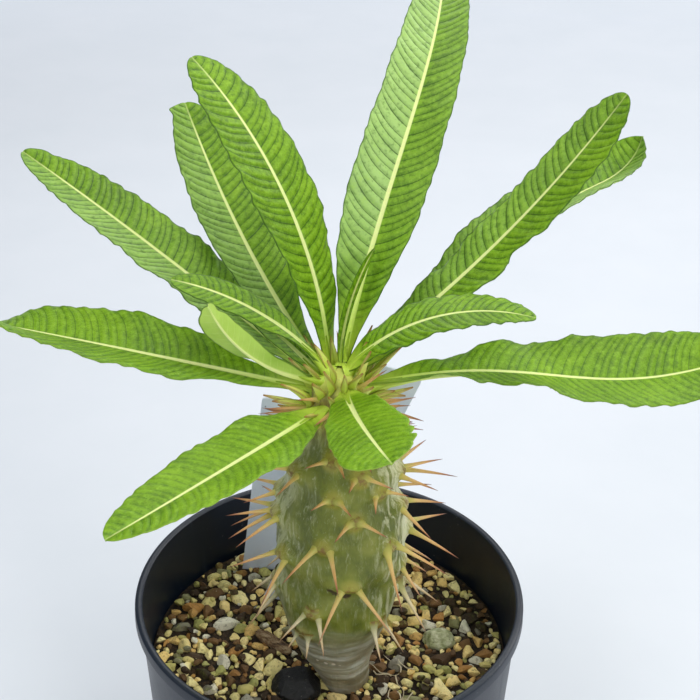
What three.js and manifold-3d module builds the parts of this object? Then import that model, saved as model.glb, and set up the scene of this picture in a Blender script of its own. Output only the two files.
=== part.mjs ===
// A potted Pachypodium ambongense: a thin plastic nursery pot, its gritty soil, the spiny swollen
// stem, fifteen leaves and two blank plant labels. Millimetres, +Z up, origin under the pot's middle.
import * as THREE from "three";
import { mergeVertices } from "three/addons/utils/BufferGeometryUtils.js";
import Module from "manifold-3d";

const wasm = await Module();
wasm.setup();

// Clearance kept wherever two pieces touch
const gap = 0.3;

// Pot: 10.5 cm across the lip
const pot = {
  lipRadius: 52.5,
  height: 90,
  lipWidth: 2.3,
  lipDepth: 3.6,
  footRadius: 46.5,
  footRound: 1.6,
  wall: 1.2,
  floor: 1.8,
  segments: 48,
  drainHoles: 6,
  drainRadius: 4.2,
  drainCircle: 27,
};
// Radius of the pot's outer wall where the lip meets it, and its slope
pot.neckRadius = pot.lipRadius - 1.5;
pot.slope = (pot.neckRadius - pot.footRadius) / (pot.height - pot.lipDepth);
const potInner = (z) => pot.footRadius - pot.wall + pot.slope * z;

// Soil surface, about 19 mm under the lip
const soil = { top: 70.6, pebbles: 60, smallest: 1.7, largest: 3.2, seed: 7 };
// Single pieces on the soil: place, size and the turn of the bark chip
const charcoal = { x: -8.6, y: -17, size: 6.4 };
const broadStone = { x: 30.7, y: 2.5, size: 5 };
const bark = { x: -15.5, y: 0, length: 13, width: 3.6, thick: 2.6, turn: -40 };

// Stem: its axis stands a little towards the front of the pot
const axis = { x: 2.6, y: -12 };
const stem = {
  around: 26,
  // height, radius and how far the middle lies to the right of the axis
  profile: [
    [53, 3.6, 2.4],
    [58, 5.6, 2.4],
    [64, 6.2, 2.2],
    [70, 6.5, 2.0],
    [75, 7.4, 1.0],
    [80, 9.2, -0.2],
    [85, 10.9, -0.6],
    [90, 12.6, -0.7],
    [94, 13.8, -0.6],
    [98, 14.7, -0.3],
    [102, 15.1, 0],
    [106, 15.2, 0.1],
    [110, 15.1, 0],
    [114, 15.8, 0.1],
    [118, 16.3, 0.3],
    [122, 16.2, 0.2],
    [126, 15.6, 0.1],
    [130, 14.8, 0],
    [134, 14.2, 0.1],
    [138, 13.6, 0.3],
    [142, 12.6, 0.4],
    [146, 10.9, 0.3],
    [150, 9.4, 0.1],
    [154, 8.4, 0],
    [158, 7.6, -0.2],
    [161, 6.6, -0.3],
    [164, 4.9, -0.4],
    [166.4, 2.4, -0.4],
  ],
  lean: 1.5, // the crown stands this much further back than the foot
};

// Tubercles, each with a pair of spines
const tubercle = {
  // azimuth, height and spine length of those on the near side
  near: [
    [-124, 95.5, 5.5],
    [-48, 98.5, 9],
    [-114, 104, 10.5],
    [-175, 105, 11],
    [-12, 106, 13.5],
    [-12, 112, 9],
    [-81, 114, 14.5],
    [-145, 119, 15],
    [0, 121, 14.5],
    [-42, 122.5, 15.5],
    [-104, 125.5, 12.5],
    [179, 125, 14.5],
    [-165, 127, 13],
    [-13, 130, 13],
    [174, 130.5, 10.5],
    [-76, 132, 8],
    [-98, 138, 6],
    [-49, 138, 6.5],
    [-8, 138.5, 11],
    [-148, 141.5, 10],
    [-70, 143, 8],
    [-102, 147, 8],
  ],
  // the far side carries on with a spiral
  far: { firstHeight: 90.6, step: 1.3, count: 43, firstAzimuth: 128, turn: 151.1, from: 15, to: 165 },
  height: 1.5,
  across: 3.4,
  tall: 2.6,
};
const spine = {
  sides: 3,
  root: 1.4,
  waist: 0.5,
  tip: 0.08,
  sunk: 1.6,
  apart: 1.5, // each root lies this far to the side of its tubercle's middle
  shortest: 9,
  longest: 14,
  splay: 34,
  // the spines droop near the foot and rise towards the crown
  lowRise: -48,
  highRise: 12,
  lowHeight: 95,
  highHeight: 150,
  seed: 21,
};
// Long thin spines round the crown, between the leaves
const crownSpine = { firstHeight: 147.5, step: 0.72, count: 17, firstAzimuth: 20, turn: 137.5 };

// Labels: plain plastic strips pushed into the soil behind the stem. x and y are where the middle of
// the strip leaves the soil, above is the length that shows and lean how far it leans to the right.
const labels = [
  { name: "label_left", x: -20, y: 33.5, above: 59.5, lean: 6.5, width: 13 },
  { name: "label_right", x: -13, y: 20, above: 83, lean: 22, width: 12 },
];
const labelLength = 102;
const labelThickness = 0.9;

// Leaves. azimuth and rise give the direction at the foot in degrees, and sweep and lift how much it
// has changed at the tip; roll and twist do the same about the midrib. fold is how far each half of
// the blade is folded up. foot is the azimuth, radius and height where the midrib starts. widest is
// the share of the length at which the blade is widest, and slender narrows its lower half. wave is
// how far the margin swings, waves how often. hook bends the last fifth, spin turns it over, and bow
// swings the midrib up, down and up again.
const leaves = [
  { name: "leaf_rear_tall", azimuth: 49, sweep: 43, rise: 77, lift: -76, length: 128, width: 20,
    roll: 18, twist: -12, fold: 21, widest: 0.34, slender: 1.6, foot: [84, 4.8, 164.1],
    wave: 0.7, waves: 4.5, phase: 0.4 },
  { name: "leaf_rear_left_tall", azimuth: 143, sweep: 3, rise: 86, lift: -52, length: 83, width: 19.5,
    roll: -1, twist: -5, fold: 4, widest: 0.6, slender: 1.3, foot: [121, 5.1, 163.7],
    wave: 0.5, waves: 4, phase: 2.2 },
  { name: "leaf_rear_left_wide", azimuth: 126, sweep: -6, rise: 23, lift: 21, length: 85, width: 21,
    roll: -18, twist: 20, fold: 16, widest: 0.58, slender: 2, foot: [128, 5.8, 162],
    wave: 0.8, waves: 3.5, phase: 1.1 },
  { name: "leaf_rear_left_long", azimuth: 137, sweep: 13, rise: 16, lift: 5, length: 105, width: 19.5,
    roll: 6, twist: -22, fold: 18, widest: 0.42, slender: 1.2, foot: [158, 6.1, 161.8],
    wave: 0.9, waves: 5.5, phase: 3.6 },
  { name: "leaf_left_young", azimuth: 165, sweep: 4, rise: 47, lift: -42, length: 44, width: 10.5,
    roll: -4, twist: -5, fold: 3, widest: 0.64, slender: 1.8, foot: [166, 2.9, 165.9],
    wave: 0.5, waves: 3, phase: 0.8 },
  { name: "leaf_left_turned", azimuth: 201, sweep: 10, rise: 16, lift: 52, length: 39, width: 8,
    roll: 13, twist: 96, fold: 31, widest: 0.68, slender: 1.2, foot: [188, 4.6, 164.4],
    wave: 0.5, waves: 2.5, phase: 2 },
  { name: "leaf_left_inner", azimuth: 149, sweep: 1, rise: 36, lift: -13, length: 25, width: 7.5,
    roll: -21, twist: 6, fold: 21, widest: 0.56, slender: 1.2, foot: [172, 4.8, 164],
    wave: 0.2, waves: 2, phase: 0 },
  { name: "leaf_left", azimuth: 168, sweep: -5, rise: 5, lift: -5, length: 90, width: 23.5,
    roll: -27, twist: 42, fold: 20, widest: 0.56, slender: 2, foot: [177, 6.8, 160.4],
    wave: 0.8, waves: 4.5, phase: 5, spin: 75 },
  { name: "leaf_front_left", azimuth: 232, sweep: -12, rise: 1, lift: -10, length: 65, width: 19.5,
    roll: -2, twist: 5, fold: 10, widest: 0.36, slender: 1.3, foot: [240, 7.1, 159.2],
    wave: 0.7, waves: 3.5, phase: 1.7 },
  { name: "leaf_front_short", azimuth: 275, sweep: 20, rise: 15, lift: -13, length: 39, width: 18.5,
    roll: 20, twist: -4, fold: 6, widest: 0.82, slender: 0.8, foot: [285, 5.4, 163.1],
    wave: 0.6, waves: 2.5, phase: 0.5 },
  { name: "leaf_right", azimuth: 6, sweep: 3, rise: -3, lift: 8, length: 96, width: 25.5,
    roll: -11, twist: 38, fold: 17, widest: 0.66, slender: 1.3, foot: [8, 6.1, 161.9],
    wave: 1.2, waves: 4.5, phase: 2.4, bow: 11 },
  { name: "leaf_right_young", azimuth: 3, sweep: -9, rise: 52, lift: -65, length: 49, width: 17,
    roll: 11, twist: -18, fold: 4, widest: 0.56, slender: 0.8, foot: [5, 1.5, 166.4],
    wave: 0.4, waves: 3, phase: 4 },
  { name: "leaf_rear_right_long", azimuth: 26, sweep: -7, rise: 26, lift: 29, length: 93, width: 17,
    roll: 11, twist: -9, fold: 3, widest: 0.78, slender: 0.6, foot: [62, 4.7, 164.2],
    wave: 0.9, waves: 5, phase: 2.9 },
  { name: "leaf_rear_right_low", azimuth: 46, sweep: -10, rise: 32, lift: -32, length: 109, width: 21,
    roll: -3, twist: 3, fold: 31, widest: 0.64, slender: 1.6, foot: [41, 6.8, 160.4],
    wave: 0.7, waves: 4, phase: 0.9, hook: 85 },
  { name: "leaf_centre_young", azimuth: 49, sweep: -2, rise: 92, lift: -48, length: 30, width: 4,
    roll: 13, twist: 24, fold: 57, widest: 0.52, slender: 0.5, foot: [83, 2, 166.5],
    wave: 0.1, waves: 2, phase: 0 },
];
const blade = {
  thickness: 0.8,
  rib: 1.1, // extra thickness along the midrib at the foot
  footWidth: 0.14, // half-width at the foot as a share of the widest
  tipPower: 2.2,
  across: [-1, -0.55, -0.13, 0.13, 0.55, 1],
  stepLength: 6,
  leastSteps: 8,
};

const colours = {
  pot: { color: 0x1d2128, roughness: 0.45, metalness: 0 },
  soil: { color: 0x8a6f48, roughness: 0.95, metalness: 0 },
  stem: { color: 0x6f7d4c, roughness: 0.6, metalness: 0 },
  leaf: { color: 0x6aa02c, roughness: 0.5, metalness: 0 },
  label: { color: 0xc9cdd6, roughness: 0.4, metalness: 0 },
};

const radians = THREE.MathUtils.degToRad;
const lerp = THREE.MathUtils.lerp;

// The same draw every time for the same seed, each value from 0 to 1
function randomFrom(seed) {
  let state = seed;
  return () => {
    state = (state * 1664525 + 1013904223) % 4294967296;
    return state / 4294967296;
  };
}

// Booleans

function toSolid(geometry) {
  const bare = new THREE.BufferGeometry();
  bare.setAttribute("position", geometry.getAttribute("position"));
  if (geometry.index) bare.setIndex(geometry.index);
  const merged = mergeVertices(bare, 1e-4);
  return new wasm.Manifold(
    new wasm.Mesh({
      numProp: 3,
      vertProperties: merged.attributes.position.array,
      triVerts: new Uint32Array(merged.index.array),
    }),
  );
}

function toGeometry(solid) {
  const mesh = solid.getMesh();
  const geometry = new THREE.BufferGeometry();
  geometry.setAttribute("position", new THREE.BufferAttribute(new Float32Array(mesh.vertProperties), 3));
  geometry.setIndex(Array.from(mesh.triVerts));
  geometry.computeVertexNormals();
  return geometry;
}

// The largest body of a solid, without the scraps that a cut may leave
function largestBody(solid) {
  return solid.decompose().reduce((best, body) => (body.volume() > best.volume() ? body : best));
}

function joinAll(solids) {
  return solids.reduce((sum, one) => sum.add(one));
}

// A closed skin over rings of equally many points, capped at both ends
function skin(rings) {
  const count = rings[0].length;
  const positions = rings.flat().flatMap((p) => [p.x, p.y, p.z]);
  const index = [];
  for (let r = 0; r + 1 < rings.length; r++)
    for (let i = 0; i < count; i++) {
      const a = r * count + i;
      const b = r * count + ((i + 1) % count);
      index.push(a, b, b + count, a, b + count, a + count);
    }
  const last = (rings.length - 1) * count;
  for (let i = 1; i + 1 < count; i++) {
    index.push(0, i + 1, i);
    index.push(last, last + i, last + i + 1);
  }
  const geometry = new THREE.BufferGeometry();
  geometry.setAttribute("position", new THREE.Float32BufferAttribute(positions, 3));
  geometry.setIndex(index);
  return geometry;
}

// Pot

function revolve(profile, segments) {
  const points = profile.map(([radius, z]) => new THREE.Vector2(radius, z));
  return new THREE.LatheGeometry(points, segments).rotateX(Math.PI / 2);
}

function potProfile() {
  const { lipRadius, height, lipWidth, lipDepth, footRound, wall, floor, footRadius, neckRadius } = pot;
  const lipInner = lipRadius - lipWidth;
  return [
    [0, 0],
    [footRadius - footRound, 0],
    [footRadius - 0.4, 0.5],
    [footRadius, footRound],
    [neckRadius, height - lipDepth],
    [lipRadius - 0.5, height - lipDepth + 0.1],
    [lipRadius, height - lipDepth + 0.8],
    [lipRadius - 0.1, height - 0.9],
    [lipRadius - 0.8, height - 0.1],
    [lipInner + 0.5, height],
    [lipInner, height - 0.6],
    [potInner(height - lipDepth), height - lipDepth - 1],
    [footRadius - wall, floor],
    [0, floor],
  ];
}

function makePot() {
  const shell = toSolid(revolve(potProfile(), pot.segments));
  const holes = [];
  for (let i = 0; i < pot.drainHoles; i++) {
    const angle = (2 * Math.PI * i) / pot.drainHoles;
    const hole = new THREE.CylinderGeometry(pot.drainRadius, pot.drainRadius, 3 * pot.floor, 16);
    hole.rotateX(Math.PI / 2);
    hole.translate(pot.drainCircle * Math.cos(angle), pot.drainCircle * Math.sin(angle), pot.floor / 2);
    holes.push(toSolid(hole));
  }
  return shell.subtract(joinAll(holes));
}

// Stem

// Radius and middle of the stem at a height, between the profile's stations
function stemAt(z) {
  const rows = stem.profile;
  let k = 1;
  while (k < rows.length - 1 && rows[k][0] < z) k++;
  const [z0, r0, x0] = rows[k - 1];
  const [z1, r1, x1] = rows[k];
  const t = THREE.MathUtils.clamp((z - z0) / (z1 - z0), 0, 1);
  const back = stem.lean * THREE.MathUtils.smoothstep(z, 75, 160);
  return { radius: lerp(r0, r1, t), x: axis.x + lerp(x0, x1, t), y: axis.y + back };
}

function tubercles() {
  const draw = randomFrom(spine.seed + 2);
  const list = tubercle.near.map(([azimuth, z, length]) => ({ z, azimuth: radians(azimuth), length }));
  const { firstHeight, step, count, firstAzimuth, turn, from, to } = tubercle.far;
  for (let i = 0; i < count; i++) {
    const azimuth = (firstAzimuth + turn * i) % 360;
    const length = lerp(spine.shortest, spine.longest, draw());
    if (azimuth < from || azimuth > to) continue;
    list.push({ z: firstHeight + step * i, azimuth: radians(azimuth), length });
  }
  return list;
}

// How far the tubercles lift the skin at an azimuth and height
function swelling(azimuth, z, list) {
  let lift = 0;
  for (const one of list) {
    const turned = Math.atan2(Math.sin(azimuth - one.azimuth), Math.cos(azimuth - one.azimuth));
    const across = (turned * stemAt(one.z).radius) / tubercle.across;
    const along = (z - one.z) / tubercle.tall;
    lift = Math.max(lift, Math.exp(-across * across - along * along));
  }
  return tubercle.height * lift;
}

function stemBody(extra) {
  const list = tubercles();
  const rings = stem.profile.map(([z], row) => {
    const { radius, x, y } = stemAt(z);
    const end = row === 0 ? -extra : row === stem.profile.length - 1 ? extra : 0;
    return Array.from({ length: stem.around }, (unused, i) => {
      const azimuth = (2 * Math.PI * i) / stem.around;
      const reach = radius + extra + swelling(azimuth, z, list);
      return new THREE.Vector3(x + reach * Math.cos(azimuth), y + reach * Math.sin(azimuth), z + end);
    });
  });
  return toSolid(skin(rings));
}

// A tapered thorn from root towards direction
function makeSpine(root, direction, length, girth) {
  const toWorld = new THREE.Quaternion().setFromUnitVectors(new THREE.Vector3(0, 0, 1), direction);
  const stations = [
    [-spine.sunk, spine.root],
    [0.3 * length, spine.waist],
    [length, spine.tip],
  ];
  const rings = stations.map(([along, radius]) =>
    Array.from({ length: spine.sides }, (unused, i) => {
      const angle = (2 * Math.PI * (i + 0.5)) / spine.sides;
      const reach = radius * girth;
      const point = new THREE.Vector3(Math.cos(angle) * reach, Math.sin(angle) * reach, along);
      return point.applyQuaternion(toWorld).add(root);
    }),
  );
  return toSolid(skin(rings));
}

// Outward direction on the stem, raised or lowered and turned aside
function outward(azimuth, rise, aside) {
  const a = azimuth + aside;
  return new THREE.Vector3(Math.cos(rise) * Math.cos(a), Math.cos(rise) * Math.sin(a), Math.sin(rise));
}

function onStem(azimuth, z, lift) {
  const { radius, x, y } = stemAt(z);
  return new THREE.Vector3(x + (radius + lift) * Math.cos(azimuth), y + (radius + lift) * Math.sin(azimuth), z);
}

function bodySpines() {
  const draw = randomFrom(spine.seed);
  const made = [];
  for (const one of tubercles()) {
    const level = THREE.MathUtils.smoothstep(one.z, spine.lowHeight, spine.highHeight);
    for (const side of [-1, 1]) {
      const length = one.length * lerp(0.9, 1.1, draw());
      const rise = radians(lerp(spine.lowRise, spine.highRise, level) + lerp(-9, 9, draw()));
      const aside = side * radians(spine.splay * lerp(0.7, 1.2, draw()));
      const rootAzimuth = one.azimuth + (side * spine.apart) / stemAt(one.z).radius;
      const root = onStem(rootAzimuth, one.z, tubercle.height * 0.6);
      made.push(makeSpine(root, outward(one.azimuth, rise, aside), length, 1));
    }
  }
  return made;
}

function crownSpines() {
  const draw = randomFrom(spine.seed + 1);
  const made = [];
  for (let i = 0; i < crownSpine.count; i++) {
    const azimuth = radians(crownSpine.firstAzimuth + crownSpine.turn * i);
    const z = crownSpine.firstHeight + crownSpine.step * i;
    const length = lerp(8, 12, draw());
    const rise = radians(lerp(-6, 14, draw()));
    made.push(makeSpine(onStem(azimuth, z, 0), outward(azimuth, rise, 0), length, 0.75));
  }
  return made;
}

// The stem with the spines that pass clear of the leaves and labels
function makeStem() {
  const foliage = joinAll([
    ...leaves.map((leaf) => makeLeaf(leaf, gap)),
    ...labels.map((label) => labelShape(label, gap)),
  ]);
  const spines = [...bodySpines(), ...crownSpines()];
  const clear = spines.filter((one) => foliage.intersect(one).isEmpty());
  return joinAll([stemBody(0), ...clear]);
}

// Leaves

function halfWidth(leaf, t) {
  const { footWidth, tipPower } = blade;
  if (t < leaf.widest) {
    const grown = Math.sin((Math.PI / 2) * (t / leaf.widest)) ** leaf.slender;
    return (leaf.width / 2) * lerp(footWidth, 1, grown);
  }
  const past = (t - leaf.widest) / (1 - leaf.widest);
  return (leaf.width / 2) * Math.sqrt(Math.max(1 - past ** tipPower, 0.02));
}

// Points and frames along the midrib: across points to the left, up out of the upper face
function midrib(leaf, steps) {
  const [footAzimuth, footRadius, footHeight] = leaf.foot;
  const at = new THREE.Vector3(
    axis.x - 0.4 + footRadius * Math.cos(radians(footAzimuth)),
    axis.y + stem.lean + footRadius * Math.sin(radians(footAzimuth)),
    footHeight,
  );
  const frames = [];
  let before = null;
  for (let i = 0; i <= steps; i++) {
    // stations crowd together towards the tip, where the outline turns
    const t = Math.sin((Math.PI / 2) * (i / steps)) ** 1.15;
    const end = THREE.MathUtils.clamp((t - 0.8) / 0.2, 0, 1) ** 2;
    const azimuth = radians(leaf.azimuth + leaf.sweep * t);
    const bow = (leaf.bow ?? 0) * Math.cos(2 * Math.PI * t);
    const rise = radians(leaf.rise + leaf.lift * t + (leaf.hook ?? 0) * end + bow);
    const roll = radians(leaf.roll + leaf.twist * t + (leaf.spin ?? 0) * end);
    const along = outward(azimuth, rise, 0);
    if (before) {
      const pace = ((t - before.t) * leaf.length) / 2;
      at.addScaledVector(before.along, pace).addScaledVector(along, pace);
    }
    const level = new THREE.Vector3(-Math.sin(azimuth), Math.cos(azimuth), 0);
    const across = level.clone().applyAxisAngle(along, roll);
    const up = new THREE.Vector3().crossVectors(along, across);
    before = { t, at: at.clone(), along, across, up };
    frames.push(before);
  }
  return frames;
}

// A closed blade: the lower face repeats the upper one's triangles, a thickness below it
function makeLeaf(leaf, extra = 0) {
  const steps = Math.max(blade.leastSteps, Math.round(leaf.length / blade.stepLength));
  const fold = radians(leaf.fold);
  const rings = midrib(leaf, steps).map(({ t, at, across, up }) => {
    const half = halfWidth(leaf, t) + extra;
    const swing = leaf.wave * Math.sin(Math.PI * Math.min(t * 1.5, 1));
    const point = (s, drop) => {
      const turn = 2 * Math.PI * leaf.waves * t + leaf.phase + (s > 0 ? 2.1 : 0);
      const height = half * Math.abs(s) * Math.sin(fold) + swing * s * s * Math.sin(turn) - drop;
      return at
        .clone()
        .addScaledVector(across, half * s * Math.cos(fold))
        .addScaledVector(up, height);
    };
    const rib = blade.rib * (1 - 0.75 * t);
    const thick = (s) => blade.thickness + (Math.abs(s) < 0.2 ? rib : 0.25 * (1 - t));
    const upper = blade.across.map((s) => point(s, -extra));
    const lower = blade.across.map((s) => point(s, thick(s) + extra)).reverse();
    return [...upper, ...lower];
  });
  return toSolid(bladeSkin(rings));
}

// The skin of a blade. Each ring runs over the upper face and back under the lower one, and every
// quad of the lower face is cut along the same diagonal as the quad above it.
function bladeSkin(rings) {
  const count = rings[0].length;
  const half = count / 2;
  const positions = rings.flat().flatMap((p) => [p.x, p.y, p.z]);
  const index = [];
  for (let r = 0; r + 1 < rings.length; r++)
    for (let i = 0; i < count; i++) {
      const a = r * count + i;
      const b = r * count + ((i + 1) % count);
      if (i < half) index.push(a, b + count, b, a, a + count, b + count);
      else index.push(a, a + count, b, b, a + count, b + count);
    }
  const last = (rings.length - 1) * count;
  for (let i = 0; i + 1 < half; i++) {
    const below = count - 1 - i;
    index.push(i, i + 1, below, i + 1, below - 1, below);
    index.push(last + i, last + below, last + i + 1, last + i + 1, last + below, last + below - 1);
  }
  const geometry = new THREE.BufferGeometry();
  geometry.setAttribute("position", new THREE.Float32BufferAttribute(positions, 3));
  geometry.setIndex(index);
  return geometry;
}

// Every leaf, cut back to the stem's surface and away from the leaves before it
function makeLeaves() {
  const crown = stemBody(gap);
  const grown = [];
  const solids = leaves.map((leaf) => {
    let solid = makeLeaf(leaf).subtract(crown);
    for (const other of grown) solid = solid.subtract(other);
    grown.push(makeLeaf(leaf, gap));
    return largestBody(solid);
  });
  return solids;
}

// Labels

function labelShape(label, extra) {
  const wide = label.width / 2 + extra;
  const top = label.above + extra;
  const point = label.above - labelLength - extra;
  const shape = new THREE.Shape([
    new THREE.Vector2(-wide, top),
    new THREE.Vector2(-wide, point + label.width),
    new THREE.Vector2(0, point),
    new THREE.Vector2(wide, point + label.width),
    new THREE.Vector2(wide, top),
  ]);
  const depth = labelThickness + 2 * extra;
  const strip = new THREE.ExtrudeGeometry(shape, { depth, bevelEnabled: false });
  strip.translate(0, 0, -depth / 2).rotateX(Math.PI / 2).rotateY(radians(label.lean));
  strip.translate(label.x, label.y, soil.top);
  return toSolid(strip);
}

// Soil

function pebble(x, y, z, size, draw) {
  const stone = new THREE.IcosahedronGeometry(size, 0);
  stone.rotateX(draw() * 3).rotateZ(draw() * 6);
  stone.scale(lerp(0.8, 1.25, draw()), lerp(0.75, 1.1, draw()), lerp(0.55, 0.8, draw()));
  stone.rotateZ(draw() * 6).translate(x, y, z);
  return toSolid(stone);
}

function pebbles() {
  const draw = randomFrom(soil.seed);
  const edge = potInner(soil.top) - 2;
  const golden = Math.PI * (3 - Math.sqrt(5));
  const made = [];
  for (let i = 0; i < soil.pebbles; i++) {
    const size = lerp(soil.smallest, soil.largest, draw() ** 2);
    const radius = Math.sqrt((i + 0.5) / soil.pebbles) * (edge - size * 1.3);
    const angle = golden * i + draw();
    made.push(pebble(radius * Math.cos(angle), radius * Math.sin(angle), soil.top - 0.2 * size, size, draw));
  }
  made.push(pebble(charcoal.x, charcoal.y, soil.top + 0.5, charcoal.size, draw));
  made.push(pebble(broadStone.x, broadStone.y, soil.top - 0.4, broadStone.size, draw));
  const chip = new THREE.IcosahedronGeometry(0.5, 0).scale(bark.length, bark.width, bark.thick);
  chip.rotateZ(radians(bark.turn)).translate(bark.x, bark.y, soil.top + 0.4);
  return [...made, toSolid(chip)];
}

function makeSoil() {
  const bottom = pot.floor + gap;
  const body = revolve(
    [
      [0, bottom],
      [potInner(bottom) - gap, bottom],
      [potInner(soil.top - 1) - gap, soil.top - 1],
      [potInner(soil.top - 1) - gap - 2, soil.top],
      [0, soil.top],
    ],
    pot.segments,
  );
  let solid = joinAll([toSolid(body), ...pebbles()]);
  solid = solid.subtract(stemBody(gap));
  for (const label of labels) solid = solid.subtract(labelShape(label, gap));
  return largestBody(solid);
}

// Assembly

function addMesh(group, name, solid, colour) {
  const mesh = new THREE.Mesh(toGeometry(solid), new THREE.MeshStandardMaterial(colour));
  mesh.name = name;
  group.add(mesh);
}

const plant = new THREE.Group();
const leafSolids = makeLeaves();
addMesh(plant, "pot", makePot(), colours.pot);
addMesh(plant, "soil", makeSoil(), colours.soil);
addMesh(plant, "caudex", makeStem(), colours.stem);
leaves.forEach((leaf, i) => addMesh(plant, leaf.name, leafSolids[i], colours.leaf));
for (const label of labels) addMesh(plant, label.name, labelShape(label, 0), colours.label);

export default plant;
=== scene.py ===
import math
import random

import bpy
import numpy as np
from mathutils import Matrix, Vector, noise
from mathutils.bvhtree import BVHTree


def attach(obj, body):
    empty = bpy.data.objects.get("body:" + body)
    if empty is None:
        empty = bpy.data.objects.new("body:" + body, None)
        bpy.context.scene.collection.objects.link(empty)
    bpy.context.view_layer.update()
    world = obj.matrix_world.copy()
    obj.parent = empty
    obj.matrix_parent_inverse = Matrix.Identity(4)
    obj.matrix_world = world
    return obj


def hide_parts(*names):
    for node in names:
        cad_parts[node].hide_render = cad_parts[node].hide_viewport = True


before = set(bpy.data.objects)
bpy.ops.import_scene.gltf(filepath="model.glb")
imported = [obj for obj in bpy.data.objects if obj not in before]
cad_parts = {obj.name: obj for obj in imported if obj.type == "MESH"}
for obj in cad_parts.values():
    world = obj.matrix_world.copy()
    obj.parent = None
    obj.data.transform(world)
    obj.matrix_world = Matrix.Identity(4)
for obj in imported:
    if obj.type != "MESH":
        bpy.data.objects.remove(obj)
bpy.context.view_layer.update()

mm = 0.001


# Handling of objects

def selectOnly(*objects):
    bpy.ops.object.select_all(action="DESELECT")
    for one in objects:
        one.select_set(True)
    bpy.context.view_layer.objects.active = objects[0]


def added(name):  # the primitive that was just added, with its place in its mesh
    made = bpy.context.active_object
    made.name = name
    made.data.name = name
    selectOnly(made)
    bpy.ops.object.transform_apply(location=True, rotation=True, scale=True)
    return made


def linked(name, data):
    made = bpy.data.objects.new(name, data)
    bpy.context.scene.collection.objects.link(made)
    return made


def sheet(name, columns, rows):  # a flat grid, and where its points lie across and along it, from -1 to 1
    bpy.ops.mesh.primitive_grid_add(x_subdivisions=columns, y_subdivisions=rows, size=2)
    made = added(name)
    across, along = places(made)[:, :2].T * mm
    return made, across, along


def ball(name, detail, radius):
    bpy.ops.mesh.primitive_ico_sphere_add(subdivisions=detail, radius=radius * mm)
    return added(name)


def applyModifier(piece, kind, **settings):
    selectOnly(piece)
    modifier = piece.modifiers.new(kind.title(), kind)
    for key, value in settings.items():
        setattr(modifier, key, value)
    bpy.ops.object.modifier_apply(modifier=modifier.name)


def inEditMode(piece, mode="VERT"):
    selectOnly(piece)
    bpy.ops.object.mode_set(mode="EDIT")
    bpy.ops.mesh.select_mode(type=mode)


def weld(piece, apart=0.001):  # merge points that lie together and turn all faces outwards
    inEditMode(piece)
    bpy.ops.mesh.select_all(action="SELECT")
    bpy.ops.mesh.remove_doubles(threshold=apart * mm)
    bpy.ops.mesh.normals_make_consistent(inside=False)
    bpy.ops.object.mode_set(mode="OBJECT")


def places(piece):  # the points of a mesh in millimetres
    flat = np.empty(len(piece.data.vertices) * 3)
    piece.data.vertices.foreach_get("co", flat)
    return flat.reshape(-1, 3) / mm


def setPlaces(piece, points):
    piece.data.vertices.foreach_set("co", (np.asarray(points) * mm).ravel())
    piece.data.update()


def setValues(piece, name, values):  # one number for each point, which a material can read
    layer = piece.data.attributes.get(name) or piece.data.attributes.new(name, "FLOAT", "POINT")
    layer.data.foreach_set("value", np.asarray(values, dtype=np.float32))


def smooth(low, high, values):
    share = np.clip((np.asarray(values, dtype=float) - low) / (high - low), 0, 1)
    return share * share * (3 - 2 * share)


def roughness3d(points, size, seed=0.0, detail=3):  # gentle noise from -1 to 1, its features size mm across
    shift = Vector((seed, 2.3 * seed, -1.7 * seed))
    return np.array([noise.fractal(Vector(p) / size + shift, 1.0, 2.0, detail) for p in points])


def tone(red, green, blue):  # a colour as seen on a screen, 0 to 255, as the material needs it
    return tuple((value / 255) ** 2.2 for value in (red, green, blue))


def shadeSmooth(piece, degrees=None):
    selectOnly(piece)
    if degrees is None:
        bpy.ops.object.shade_smooth()
    else:
        bpy.ops.object.shade_smooth_by_angle(angle=math.radians(degrees))


def joined(pieces, name):
    selectOnly(*pieces)
    if len(pieces) > 1:
        bpy.ops.object.join()
    whole = bpy.context.active_object
    whole.name = name
    whole.data.name = name
    return whole


def dress(piece, material, slot, *nodes):
    piece.data.materials.clear()
    piece.data.materials.append(material)
    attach(piece, "root")
    if nodes:
        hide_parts(*nodes)
    return piece


# Materials

class Wire:  # the outcome of one step of a material; sums and products of wires are steps too
    def __init__(self, finish, socket):
        self.finish = finish
        self.socket = socket

    def math(self, operation, *values):
        return self.finish.node("ShaderNodeMath", {"operation": operation}, values)

    def __add__(self, other):
        return self.math("ADD", self, other)

    def __radd__(self, other):
        return self.math("ADD", other, self)

    def __sub__(self, other):
        return self.math("SUBTRACT", self, other)

    def __rsub__(self, other):
        return self.math("SUBTRACT", other, self)

    def __mul__(self, other):
        return self.math("MULTIPLY", self, other)

    def __rmul__(self, other):
        return self.math("MULTIPLY", other, self)

    def __truediv__(self, other):
        return self.math("DIVIDE", self, other)

    def __rtruediv__(self, other):
        return self.math("DIVIDE", other, self)


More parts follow.
